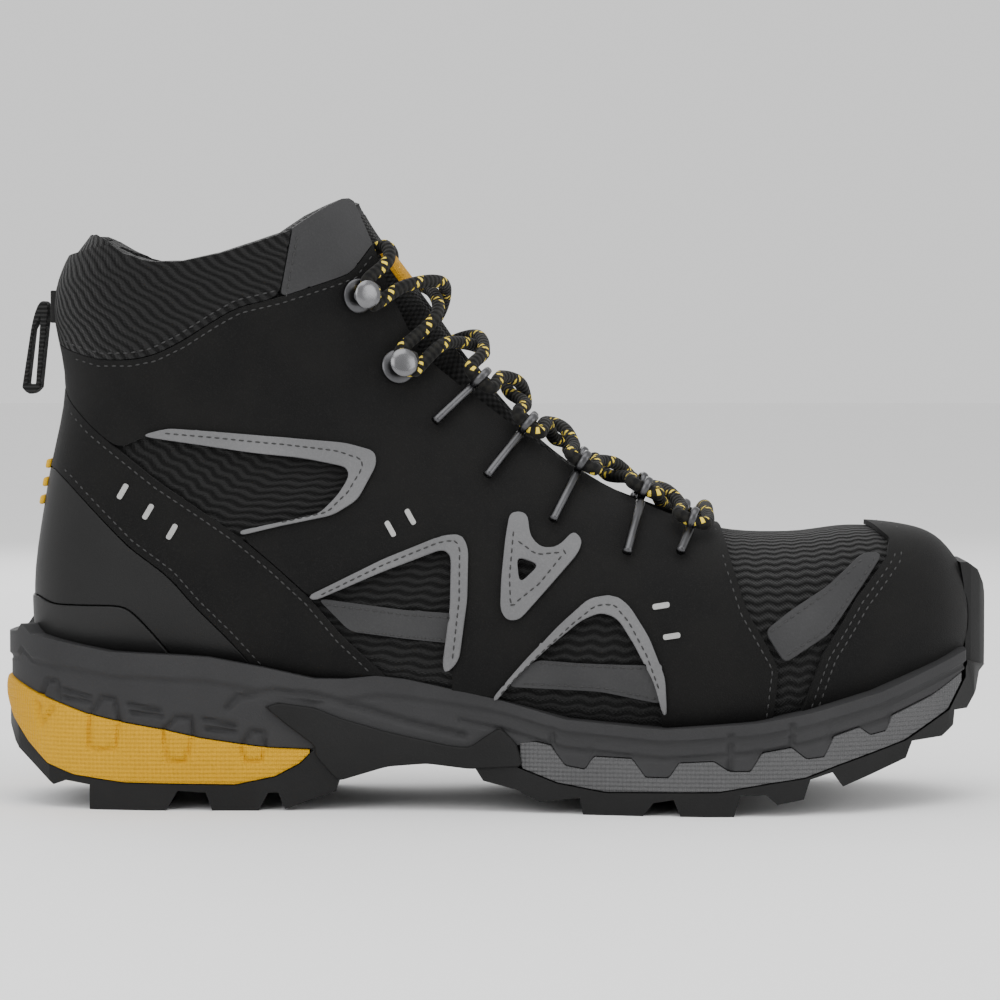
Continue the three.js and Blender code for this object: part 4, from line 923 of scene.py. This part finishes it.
def on_plan(run):
    """The plan's places and outward directions, by the run from the heel: outer side positive."""
    def at(run):
        run = np.mod(run, PLAN_ROUND)
        return np.stack([np.interp(run, plan_run, plan_line[:, k]) for k in (0, 1)], -1)

    way = at(run + 1.5) - at(run - 1.5)
    way /= np.linalg.norm(way, axis=-1, keepdims=True)
    return at(run), np.stack([way[..., 1], -way[..., 0]], -1)


def run_at(x, side):
    if side < 0:
        return np.interp(x, plan_line[:toe_index, 0], plan_run[:toe_index])
    return np.interp(x, plan_line[toe_index:, 0][::-1], plan_run[toe_index:][::-1]) - PLAN_ROUND


def sole_side(run, z, out):
    spot, outward = on_plan(run)
    spot = spot + outward * np.broadcast_to(out, np.shape(run))[..., None]
    return np.stack([spot[..., 0], spot[..., 1], z], -1)


def on_wall(run, z):
    return run * MM, z * MM


def sole_wall(span, low, high, outer, inner, rows, step=0.85):
    """A wall round the sole between two heights, its relief given by outer(run, z)."""
    count = int(abs(span[1] - span[0]) / step)
    bm = bmesh.new()
    bmesh.ops.create_grid(bm, x_segments=count, y_segments=rows, size=1)
    for v in bm.verts:
        run = span[0] + (span[1] - span[0]) * (v.co.x + 1) / 2
        x = float(on_plan(np.array(run))[0][0])
        bottom, top = np.interp(x, *np.array(low).T), np.interp(x, *np.array(high).T)
        v.co = (run, bottom + (top - bottom) * (v.co.y + 1) / 2, 0)
    return laid(bm, sole_side, outer, inner, on_wall, 0.02)


def grooved(x, z, lines, half, depth):
    """How far grooves along the lines sink each place."""
    sunk = np.zeros_like(x)
    for line in lines:
        for a, b in zip(np.array(line), np.array(line)[1:]):
            way = b - a
            t = np.clip(((x - a[0]) * way[0] + (z - a[1]) * way[1]) / (way @ way), 0, 1)
            distance = np.hypot(x - a[0] - t * way[0], z - a[1] - t * way[1])
            sunk = np.maximum(sunk, depth * np.clip(1 - (distance / half) ** 2, 0, 1))
    return sunk


def rail_relief(run, z):
    spot, outward = on_plan(run)
    x = spot[:, 0]
    rail = np.interp(x, *np.array(RAIL_TOP).T)
    lip = rail - np.interp(x, *np.array(LIP_GROOVE).T)
    sunk = 0.9 * np.clip(1 - ((z - lip) / 1.1) ** 2, 0, 1)
    second = np.where(x > 140, rail - SECOND_GROOVE, -99)
    sunk = np.maximum(sunk, 0.8 * np.clip(1 - ((z - second) / 1.0) ** 2, 0, 1))
    sunk = np.maximum(sunk, grooved(x, z, HEEL_MARKS, 1.0, 1.1))
    sunk = np.maximum(sunk, grooved(x, z, [ARCH_SCOOP, *RAIL_NOTCHES], 1.3, 1.2))
    below = np.clip((lip - z) / 1.5, 0, 1) * 0.7  # the foam under the lip stands back from it
    behind_bumper = np.clip(x - BUMPER_BACK, 0, None) / np.maximum(outward[:, 0], 0.4)
    return -sunk - below - behind_bumper


def rubber_finish(name, low, high, diamonds=0.0, roughness=(0.55, 0.8)):
    made = Finish(name, Specular_IOR_Level=0.18)
    grain, cloud = made.noise(1800.0, 4.0), made.noise(30.0, 3.0)
    made.colour(cloud.above(0.5, 0.3) * 0.7 + grain.above(0.55, 0.2) * 0.3, low, high)
    made.rough(cloud * 0.5 + grain * 0.5, *roughness)
    if diamonds:
        run, up = made.pattern()
        grain = (run + up).wave(diamonds) * (run - up).wave(diamonds) + grain * 0.3
    made.relief(grain, 0.3 if diamonds else 0.1)
    return made.material


rail_low = [(x, z + GAP) for x, z in RAIL_LOW]
rail = sole_wall((TOE_RUN - PLAN_ROUND, TOE_RUN), rail_low, RAIL_TOP, rail_relief, -RAIL_DEPTH, 30)
midsole_grey = rubber_finish("midsole_grey", (0.024, 0.024, 0.025), (0.036, 0.036, 0.037))
dressed(link("midsole_foam", rail), midsole_grey, "midsole_foam", "midsole", edge=0.7, angle=50)

# ---- Heel cushion ----
# A mustard yellow rubber shell round the heel's shock pad, moulded with a fine diamond texture and with
# marks that carry the midsole's on. It is bonded between the midsole and the outsole.
CUSHION_DEPTH = 9.0
DIAMOND = 0.0026  # the moulded texture's pitch in metres
CUSHION_LOW = [(0.5, 31.5), (3.5, 25.5), (8.5, 19.5), (15, 13.5), (23.5, 10.5), (39, 8.5), (73, 8),
               (85, 10.5), (92.5, 14.5), (96, 18)]
CUSHION_MARKS = [
    [(12.3, 31.5), (13.6, 25), (17.2, 30.2)], [(28.6, 28.3), (28.9, 18.4), (36.5, 18.4), (37.6, 26)],
    [(51.2, 23.6), (52.5, 15.2), (58, 15.2), (59.8, 22)],
    [(74.8, 19), (76.1, 15.1), (80.7, 15.1), (81.7, 19.6)],
]


def cushion_relief(run, z):
    x = on_plan(run)[0][:, 0]
    low, high = np.interp(x, *np.array(CUSHION_LOW).T), np.interp(x, *np.array(CUSHION_TOP).T)
    middle = np.clip((z - low) * (high - z) / (0.25 * (high - low + 1e-3) ** 2), 0, 1)
    return 0.9 * np.sqrt(middle) - grooved(x, z, CUSHION_MARKS, 0.9, 1.1)


cushion_span = (run_at(95.5, 1), run_at(95.5, -1))
cushion_wall = sole_wall(cushion_span, CUSHION_LOW, CUSHION_TOP, cushion_relief, -CUSHION_DEPTH, 22)
cushion_yellow = rubber_finish("cushion_yellow", (0.54, 0.275, 0.004), (0.63, 0.335, 0.007), DIAMOND)
cushion = link("heel_cushion_shell", cushion_wall)
dressed(cushion, cushion_yellow, "cushion_yellow", "heel_cushion", edge=0.4, angle=50)

# ---- Forefoot inserts ----
# Two lighter grey foam strips, one each side of the forefoot, with the same diamond texture. The midsole's
# teeth bite into their upper edges.
INSERT_LOW = [(158.5, 17.5), (159.5, 13.5), (170, 9.5), (184.5, 7), (218.5, 7.5), (233.5, 10), (244.5, 11.5),
              (254.5, 15), (276, 21.5), (290.5, 29.5), (296, 38.5)]
INSERT_SETBACK, INSERT_DEPTH = 0.6, 9.5
insert_grey = rubber_finish("insert_grey", (0.075, 0.075, 0.077), (0.10, 0.10, 0.102), DIAMOND)
for name, side in SIDES.items():
    insert_span = run_at(159, side), run_at(295.5, side)
    strip = sole_wall(insert_span, INSERT_LOW, [(158.5, 21), *TEETH], -INSERT_SETBACK, -INSERT_DEPTH, 14)
    insert = link("forefoot_insert_strip_" + name, strip)
    dressed(insert, insert_grey, "insert_grey", "forefoot_insert_" + name, edge=0.5, angle=50)

# ---- Outsole ----
# One moulded black rubber piece: deep lugs under the heel and the forefoot, a wedge up each side of the arch
# and a bumper over the toe. Its moulded edges are all slightly round.
WEDGE = [(82, 31.5), (86, 32.8), (97, 31.3), (105, 28), (119, 24), (137.5, 20), (144, 19.5), (148, 22.5),
         (153, 25.8), (158, 21), (160, 14), (144, 13), (131, 14.5), (119, 13.5), (104, 9), (97, 17),
         (97.2, 19.6), (88, 26.5)]
WEDGE_PROUD, WEDGE_DEPTH, WEDGE_GRID = 0.8, 4.0, (4.0, 40.0)
outsole_black = rubber_finish("outsole_black", 0.0055, 0.013, roughness=(0.45, 0.75))


def refined(name, node):
    """A copy of a CAD node's own shape, with its flat faces whole again."""
    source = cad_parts[node]
    bm = bmesh.new()
    bm.from_mesh(source.data)
    bm.transform(source.matrix_world)
    bmesh.ops.remove_doubles(bm, verts=bm.verts[:], dist=1e-6)
    bmesh.ops.dissolve_limit(bm, angle_limit=math.radians(1), verts=bm.verts[:], edges=bm.edges[:])
    bmesh.ops.recalc_face_normals(bm, faces=bm.faces[:])
    return link(name, bm)


outsole = refined("outsole_rubber", "outsole")
dressed(outsole, outsole_black, "outsole_rubber", "outsole", edge=0.7, angle=30)
outsole.data.set_sharp_from_angle(angle=math.radians(40))
for name, side in SIDES.items():
    ring = [(float(run_at(p.x, side)), p.y) for p in soften(WEDGE, 2.0)]
    pattern = cut_pattern([np.array(ring).T], WEDGE_GRID)
    wedge = laid(pattern, sole_side, WEDGE_PROUD, -WEDGE_DEPTH, on_wall)
    dressed(link("arch_wedge_" + name, wedge), outsole_black, "outsole_rubber", "outsole", edge=0.5)

# ---- Lining ----
# Dark grey knitted fabric on soft foam, bagged out over the collar's edge and pulled smooth over the last
# from heel to toe. It is sewn to the shell along the top line and round the throat.
def knit_finish(name, low, high, pitch):
    made = Finish(name, Sheen_Weight=0.08, Specular_IOR_Level=0.15)
    run, up = made.pattern()
    loops = run.wave(pitch) * up.wave(pitch)
    cloud = made.noise(45.0)
    made.colour(loops.above(0.0, 0.5) * 0.7 + cloud * 0.3, low, high)
    made.rough(cloud, 0.8, 0.97)
    made.relief(loops + cloud * 0.5, 0.25)
    return made.material


lining_knit = knit_finish("lining_knit", 0.018, 0.034, 0.0014)
lining = link("lining_padded", whole_upper(SHELL_IN - GAP, LINING_IN))
dressed(lining, lining_knit, "lining_fabric", "lining", edge=1.3, angle=50, segments=4)

# ---- Footbed ----
# A loose moulded foam insole covered in knit. It lies on the lasting board, cupped at its edges, and is
# lifted out by the heel.
FOOTBED_OUT, FOOTBED_IN = -8.4, -12.9
FOOTBED_STATIONS, FOOTBED_TURN = (2.2, 13.4), 1.05


def grid_sheet(spans, counts, form, outer, inner, cloth=on_cloth):
    bm = bmesh.new()
    bmesh.ops.create_grid(bm, x_segments=counts[0], y_segments=counts[1], size=1)
    for v in bm.verts:
        v.co.x = spans[0][0] + (spans[0][1] - spans[0][0]) * (v.co.x + 1) / 2
        v.co.y = spans[1][0] + (spans[1][1] - spans[1][0]) * (v.co.y + 1) / 2
    return laid(bm, form, outer, inner, cloth, 0.02)


footbed_spans = FOOTBED_STATIONS, (-QUARTER_TURN - FOOTBED_TURN, -QUARTER_TURN + FOOTBED_TURN)
footbed = link("footbed_foam", grid_sheet(footbed_spans, (60, 24), skin, FOOTBED_OUT, FOOTBED_IN))
footbed_knit = knit_finish("footbed_knit", (0.03, 0.03, 0.031), 0.06, 0.0018)
dressed(footbed, footbed_knit, "footbed_foam", "footbed", edge=1.2, angle=50, segments=3, body="footbed")

# ---- Tongue ----
# Padded black mesh with a dark face, sewn to the vamp at its foot, wide enough to reach under both facings.
# Two shallow channels run up it, and a plain yellow woven label is sewn near its top.
TONGUE_FROM, TONGUE_TO = float(locate(222, 79)[0]), LAST_END - 2.75
TONGUE_RIDGE, TONGUE_PAD, TONGUE_WING_PAD = 0.42, 9.0, 3.6
TONGUE_WING = LINING_IN - LACE_POCKET
TONGUE_SWELL = 2.0  # how far the padding swells up between the facings
LABEL_AT, LABEL_HALF, LABEL_ACROSS = 0.8, 0.062, 0.26
LABEL_OUT, LABEL_SUNK = 0.8, 0.2


def smoothstep(t):
    t = np.clip(t, 0, 1)
    return t * t * (3 - 2 * t)


def tongue_form(share, across, out):
    s = TONGUE_FROM + (TONGUE_TO - TONGUE_FROM) * share
    return skin(s, QUARTER_TURN + across * (0.62 + 0.3 * smoothstep(share * 1.4)), out)


def tongue_face(share, across):
    foot, crown = LINING_IN - 4 * GAP, TONGUE_SWELL - TONGUE_CROWN
    seated = foot + (crown - foot) * smoothstep(share / 0.14)
    fall = smoothstep((np.abs(across) - TONGUE_RIDGE * 0.45) / (TONGUE_RIDGE * 0.75))
    return seated + (TONGUE_WING - seated) * fall


def tongue_front(share, across):
    channel = 0.9 * np.exp(-((np.abs(across) - 0.13) / 0.025) ** 2) * (np.abs(share - LABEL_AT) > 0.09)
    return tongue_face(share, across) - channel


def tongue_back(share, across):
    thick = TONGUE_PAD + (TONGUE_WING_PAD - TONGUE_PAD) * smoothstep(np.abs(across) * 1.3)
    return tongue_face(share, across) - thick * (0.45 + 0.55 * smoothstep(share / 0.2))


def on_tongue(share, across):
    return share * 0.16, across * 0.045


sheet = grid_sheet(((0, 1), (-1, 1)), (70, 60), tongue_form, tongue_front, tongue_back, on_tongue)
tongue = link("tongue_padded", sheet)
tongue_mesh = knit_finish("tongue_mesh", 0.008, 0.022, 0.0022)
dressed(tongue, tongue_mesh, "tongue_fabric", "tongue", edge=1.2, angle=50, segments=4, body="tongue")
label_spans = (LABEL_AT - LABEL_HALF, LABEL_AT + LABEL_HALF), (-LABEL_ACROSS, LABEL_ACROSS)
sheet = grid_sheet(label_spans, (10, 20), tongue_form, lambda u, v: tongue_face(u, v) + LABEL_OUT,
                   lambda u, v: tongue_face(u, v) - LABEL_SUNK, on_tongue)
label_yellow = knit_finish("label_yellow", (0.62, 0.30, 0.01), (0.78, 0.40, 0.02), 0.0009)
label = link("tongue_label_woven", sheet)
dressed(label, label_yellow, "label_yellow", "tongue_label", edge=0.3, angle=50, body="tongue")

# ---- Keepers and hooks ----
# Dark plated steel. Five keepers a side each have an eye for the lace and a round leg riveted under the
# facing. The two hooks a side are turned studs: a base, a neck and a smoother egg-shaped cap, coloured
# lighter than the rest of the hook as a painted highlight.
KEEPER_ROD = 1.45
HOOK_BASE, HOOK_CAP, HOOK_CAP_THICK = 5.2, 4.4, 1.2


def metal_finish(name, low, high, roughness):
    made = Finish(name, Metallic=1.0)
    grain, cloud = made.noise(900.0, 4.0), made.noise(160.0, 3.0)
    made.colour(cloud, low, high)
    made.rough(cloud * 0.6 + grain * 0.4, *roughness)
    made.relief(grain, 0.03)
    return made.material


gunmetal = metal_finish("gunmetal", (0.05, 0.05, 0.052), (0.11, 0.11, 0.115), (0.22, 0.42))
# The caps' metal is smoother than the hooks' own, and its lighter colour is a painted highlight.
cap_highlight_metal = metal_finish("cap_painted_highlight", (0.11, 0.11, 0.115), (0.20, 0.20, 0.205), (0.16, 0.34))


def seated(verts, place, height):
    """Turns a fitting's own x, y, z into away, up and out at its seat."""
    right = np.cross(place["up"], place["out"])
    for v in verts:
        v.co = row(place["at"] + right * v.co.x + place["up"] * v.co.y + place["out"] * (v.co.z + height))


def turned(profile, steps=28):
    """A profile in x and z spun once round the z axis."""
    bm = bmesh.new()
    verts = [bm.verts.new((r, 0, h)) for r, h in profile]
    edges = [bm.edges.new(pair) for pair in zip(verts, verts[1:])]
    bmesh.ops.spin(bm, geom=verts + edges, cent=(0, 0, 0), axis=(0, 0, 1), angle=2 * math.pi, steps=steps,
                   use_merge=True)
    bmesh.ops.remove_doubles(bm, verts=bm.verts[:], dist=1e-3)
    bmesh.ops.recalc_face_normals(bm, faces=bm.faces[:])
    return bm


def keeper_body(eye, foot, side):
    angles = np.linspace(0, 2 * math.pi, 15)
    middle = EYE_HOLE + EYE_WALL / 2
    profile = [(middle + math.cos(a) * EYE_WALL / 2, math.sin(a) * EYE_WIDE / 2) for a in angles]
    bm = turned(profile)
    bmesh.ops.rotate(bm, verts=bm.verts[:], matrix=Matrix.Rotation(QUARTER_TURN, 3, "X"))
    seated(bm.verts[:], seat(*eye, side), EYE_HEIGHT)
    spots = []
    for t in (0.12, 0.4, 0.7, 1.0):
        s, turn = locate(eye[0] + (foot[0] - eye[0]) * t, eye[1] + (foot[1] - eye[1]) * t)
        spots.append(skin(s, sided(turn, side), FACING + KEEPER_ROD))
    return joined(bm, cord_tube(row(smooth_line(spots, 0.9)[0]), KEEPER_ROD * MM, 14))


hook_cap_at = FACING + HOOK_BASE_THICK + HOOK_GAP
HOOK_PROFILE = [
    (0, FACING), (HOOK_BASE, FACING), (HOOK_BASE, FACING + 0.6), (HOOK_BASE - 0.5, FACING + HOOK_BASE_THICK),
    (HOOK_NECK + 0.5, FACING + HOOK_BASE_THICK), (HOOK_NECK, FACING + HOOK_BASE_THICK + 0.6),
    (HOOK_NECK, hook_cap_at - 0.5), (HOOK_NECK + 0.6, hook_cap_at), (HOOK_CAP - 0.3, hook_cap_at),
    (HOOK_CAP, hook_cap_at + 0.4), (HOOK_CAP - 0.5, hook_cap_at + 0.9),
    (HOOK_CAP - 2, hook_cap_at + HOOK_CAP_THICK), (0, hook_cap_at + HOOK_CAP_THICK + 0.2)]
for name, side in SIDES.items():
    for k, (eye, foot) in enumerate(KEEPERS, 1):
        keeper = link(f"keeper_{name}_{k}", keeper_body(eye, foot, side), gunmetal)
        fit(keeper, "boot", "hook_metal", f"lace_keeper_{name}_{k}")
    for level, spot in HOOKS.items():
        bm = turned(HOOK_PROFILE, 36)
        # The cap's faces take the lighter metal: a painted highlight on the dome.
        for face in bm.faces:
            face.material_index = int(face.calc_center_median().z > hook_cap_at - 0.2)
        seated(bm.verts[:], seat(*spot, side), 0)
        hook = link(f"hook_{level}_{name}", bm, gunmetal, cap_highlight_metal)
        hook.data.set_sharp_from_angle(angle=math.radians(50))
        fit(hook, "boot", "hook_metal", f"lace_hook_{level}_{name}")

# ---- Pull loop and heel ribs ----
# A folded black webbing loop hangs behind the collar from a sewn anchor. Below it three plain raised ribs of
# yellow rubber are bonded across the heel.
def webbing_finish():
    made = Finish("webbing", Sheen_Weight=0.05, Specular_IOR_Level=0.15)
    place = made.node("ShaderNodeSeparateXYZ", inputs={"Vector": made.node("ShaderNodeTexCoord", out=3)})
    across, up = (Flow(made, place.socket.node.outputs[k]) for k in (1, 2))
    weave = across.wave(0.0016) * up.wave(0.0013)
    made.colour(weave.above(0.1, 0.5), 0.010, 0.03)
    made.rough(made.noise(400.0), 0.75, 0.95)
    made.relief(weave, 0.3)
    return made.material


webbing = webbing_finish()
rib_yellow = rubber_finish("rib_yellow", (0.60, 0.34, 0.012), (0.72, 0.42, 0.02))
for name, node, body, finish, slot, edge in (
        ("pull_loop_webbing", "pull_loop", "pull_loop", webbing, "webbing", 0.4),
        ("pull_loop_anchor_webbing", "pull_loop_anchor", "boot", webbing, "webbing", 0.4),
        *((f"heel_rib_rubber_{k}", f"heel_rib_{k}", "boot", rib_yellow, "label_yellow", 0.7)
          for k in (1, 2, 3))):
    dressed(refined(name, node), finish, slot, node, edge=edge, angle=40, segments=3, body=body)

# ---- Reflective dashes ----
# Light grey reflective film pressed on the strap and the quarters in short slanted strips.
DASHES = [((39.5, 96.5), 60), ((47, 90.5), 60), ((54, 84.5), 60), ((126, 88.5), 120), ((120, 85), 120),
          ((201.5, 62), 8), ((204.7, 53.4), 8)]
DASH = (2.6, 0.8)  # half length and half width
DASH_PROUD = 0.3
reflective = microfibre_finish("reflective_film", (0.30, 0.30, 0.29), (0.40, 0.40, 0.39))


def dash_ring(centre, angle):
    way = Vector((math.cos(math.radians(angle)), math.sin(math.radians(angle))))
    aside = Vector((-way.y, way.x))
    corners = [Vector(centre) + way * DASH[0] * a + aside * DASH[1] * b
               for a, b in ((1, 1), (-1, 1), (-1, -1), (1, -1))]
    return soften(corners, 0.8)


for name, side in SIDES.items():
    for k, dash in enumerate(DASHES, 1):
        pattern = cut_pattern([skin_ring(dash_ring(*dash), side)])
        film = laid(pattern, skin, OVERLAY_OUT + DASH_PROUD, OVERLAY_OUT - DASH_PROUD, weld=0.02)
        dressed(link(f"reflective_dash_{name}_{k}", film), reflective, "grey_trim", edge=0.1)

# ---- Stitching ----
# Lockstitch rows in bonded nylon, 2.4 mm to the stitch: charcoal on the black and dark pieces and darker on
# the trims. Each stitch lies in the surface between its two needle holes.
STITCH, PITCH = (0.95, 0.28, 0.22), 2.4
SEAM = 2.0
STITCH_ROWS = {
    "black": [
        beside(STRAP_TOP, -SEAM), beside(STRAP_LOW, SEAM),
        beside(COLLAR_LOW, -SEAM), beside(COLLAR_LOW, SEAM),
        beside(GUARD_EDGE[:7], -SEAM), beside(GUARD_EDGE[:7], -SEAM - 2), beside(QUARTER_FRONT, -SEAM),
        beside(COLLAR_SEAM, -SEAM), beside(COLLAR_FRONT_LOW, -SEAM),
        [(100, 62.6), (124, 59.6), (138, 58.7)], [(110, 54.8), (124, 53.2), (138, 52)],
        [(165, 45.2), (198, 43.8)], [(160, 39.3), (184, 38.2), (200, 35)],
        [(233.5, 54.3), (252, 65.8), (263.5, 75.2)],
        [(238.4, 47.6), (251.2, 55.2), (259, 65.4), (267.5, 75.8)],
    ],
    "trim": [
        [(52, 114.3), (67, 113), (87, 110.8), (104, 108), (111, 105.5), (111.3, 103), (107, 95.8),
         (101, 90), (87, 87)],
        [(99, 65.3), (118, 74.2), (134.5, 80.6), (139.5, 81.3), (141, 78.5), (141, 64), (139, 46)],
        [(153.5, 36.5), (165, 47.8), (175, 56.8), (182, 62), (187.3, 62.3), (191.8, 57.5), (197.5, 47.5),
         (201, 38)],
        [(157, 84), (156, 70), (156.5, 62), (165, 68.5), (172.5, 77.3), (164, 76.8), (158, 81)],
    ],
}


def stitch_spots(line, side):
    """Evenly spaced places along a side outline, in stations and turns, inside the boot's edges."""
    dense = np.array(densify(line, 0.4, closed=False))
    keep = (dense[:, 1] < np.interp(dense[:, 0], *np.array(TOPLINE).T) - 2) & (
        dense[:, 1] > np.interp(dense[:, 0], *np.array(FEATHER).T) + 1)
    dense = dense[keep]
    run = np.concatenate([[0], np.cumsum(np.linalg.norm(np.diff(dense, axis=0), axis=1))])
    even = np.arange(PITCH / 2, run[-1], PITCH)
    x, z = (np.interp(even, run, dense[:, k]) for k in (0, 1))
    s, turn = locate(x, z)
    clear = turn < throat_turn(s, side) - 0.04
    return s[clear], sided(turn[clear], side)


def sewn(rows, side, out):
    bm = bmesh.new()
    for line in rows:
        s, turn = stitch_spots(line, side)
        places, outward = skin(s, turn, out), last_normal(s, turn)
        for k in range(len(places)):
            way = places[min(k + 1, len(places) - 1)] - places[max(k - 1, 0)]
            if not 0.5 < np.linalg.norm(way) < 4 * PITCH:
                continue
            way = way / np.linalg.norm(way)
            aside = np.cross(outward[k], way)
            verts = bmesh.ops.create_icosphere(bm, subdivisions=1, radius=1.0)["verts"]
            for v in verts:
                along, across, up = Vector(STITCH) * v.co
                v.co = row(places[k] + way * along + aside * across + outward[k] * up)
    return bm


def thread_finish(name, low, high):
    made = Finish(name, Specular_IOR_Level=0.3)
    strand = made.noise(5000.0)
    made.colour(strand, low, high)
    made.rough(strand, 0.55, 0.8)
    return made.material


THREADS = {
    "black": (thread_finish("charcoal_thread", 0.024, 0.045), OVERLAY_OUT, "black_nubuck"),
    "trim": (thread_finish("dark_thread", 0.02, 0.04), TRIM_OUT, "grey_trim"),
}
for name, side in SIDES.items():
    for kind, rows in STITCH_ROWS.items():
        finish, out, slot = THREADS[kind]
        fit(link(f"stitches_{kind}_{name}", sewn(rows, side, out), finish), "boot", slot)

# ---- Hidden parts ----
# The steel shank and toe cap, the fibre heel counter and lasting board and the lace's tips keep their own
# shapes inside the boot.
steel = metal_finish("bare_steel", (0.36, 0.36, 0.37), (0.52, 0.52, 0.53), (0.25, 0.5))
fibre = microfibre_finish("fibre_board", (0.30, 0.22, 0.13), (0.42, 0.32, 0.20))
for node, finish in (("shank", steel), ("toe_cap", steel), ("heel_counter", fibre), ("lasting_board", fibre),
                     ("lace_tip_lateral", gunmetal), ("lace_tip_medial", gunmetal)):
    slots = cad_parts[node].data.materials
    slots.clear()
    slots.append(finish)
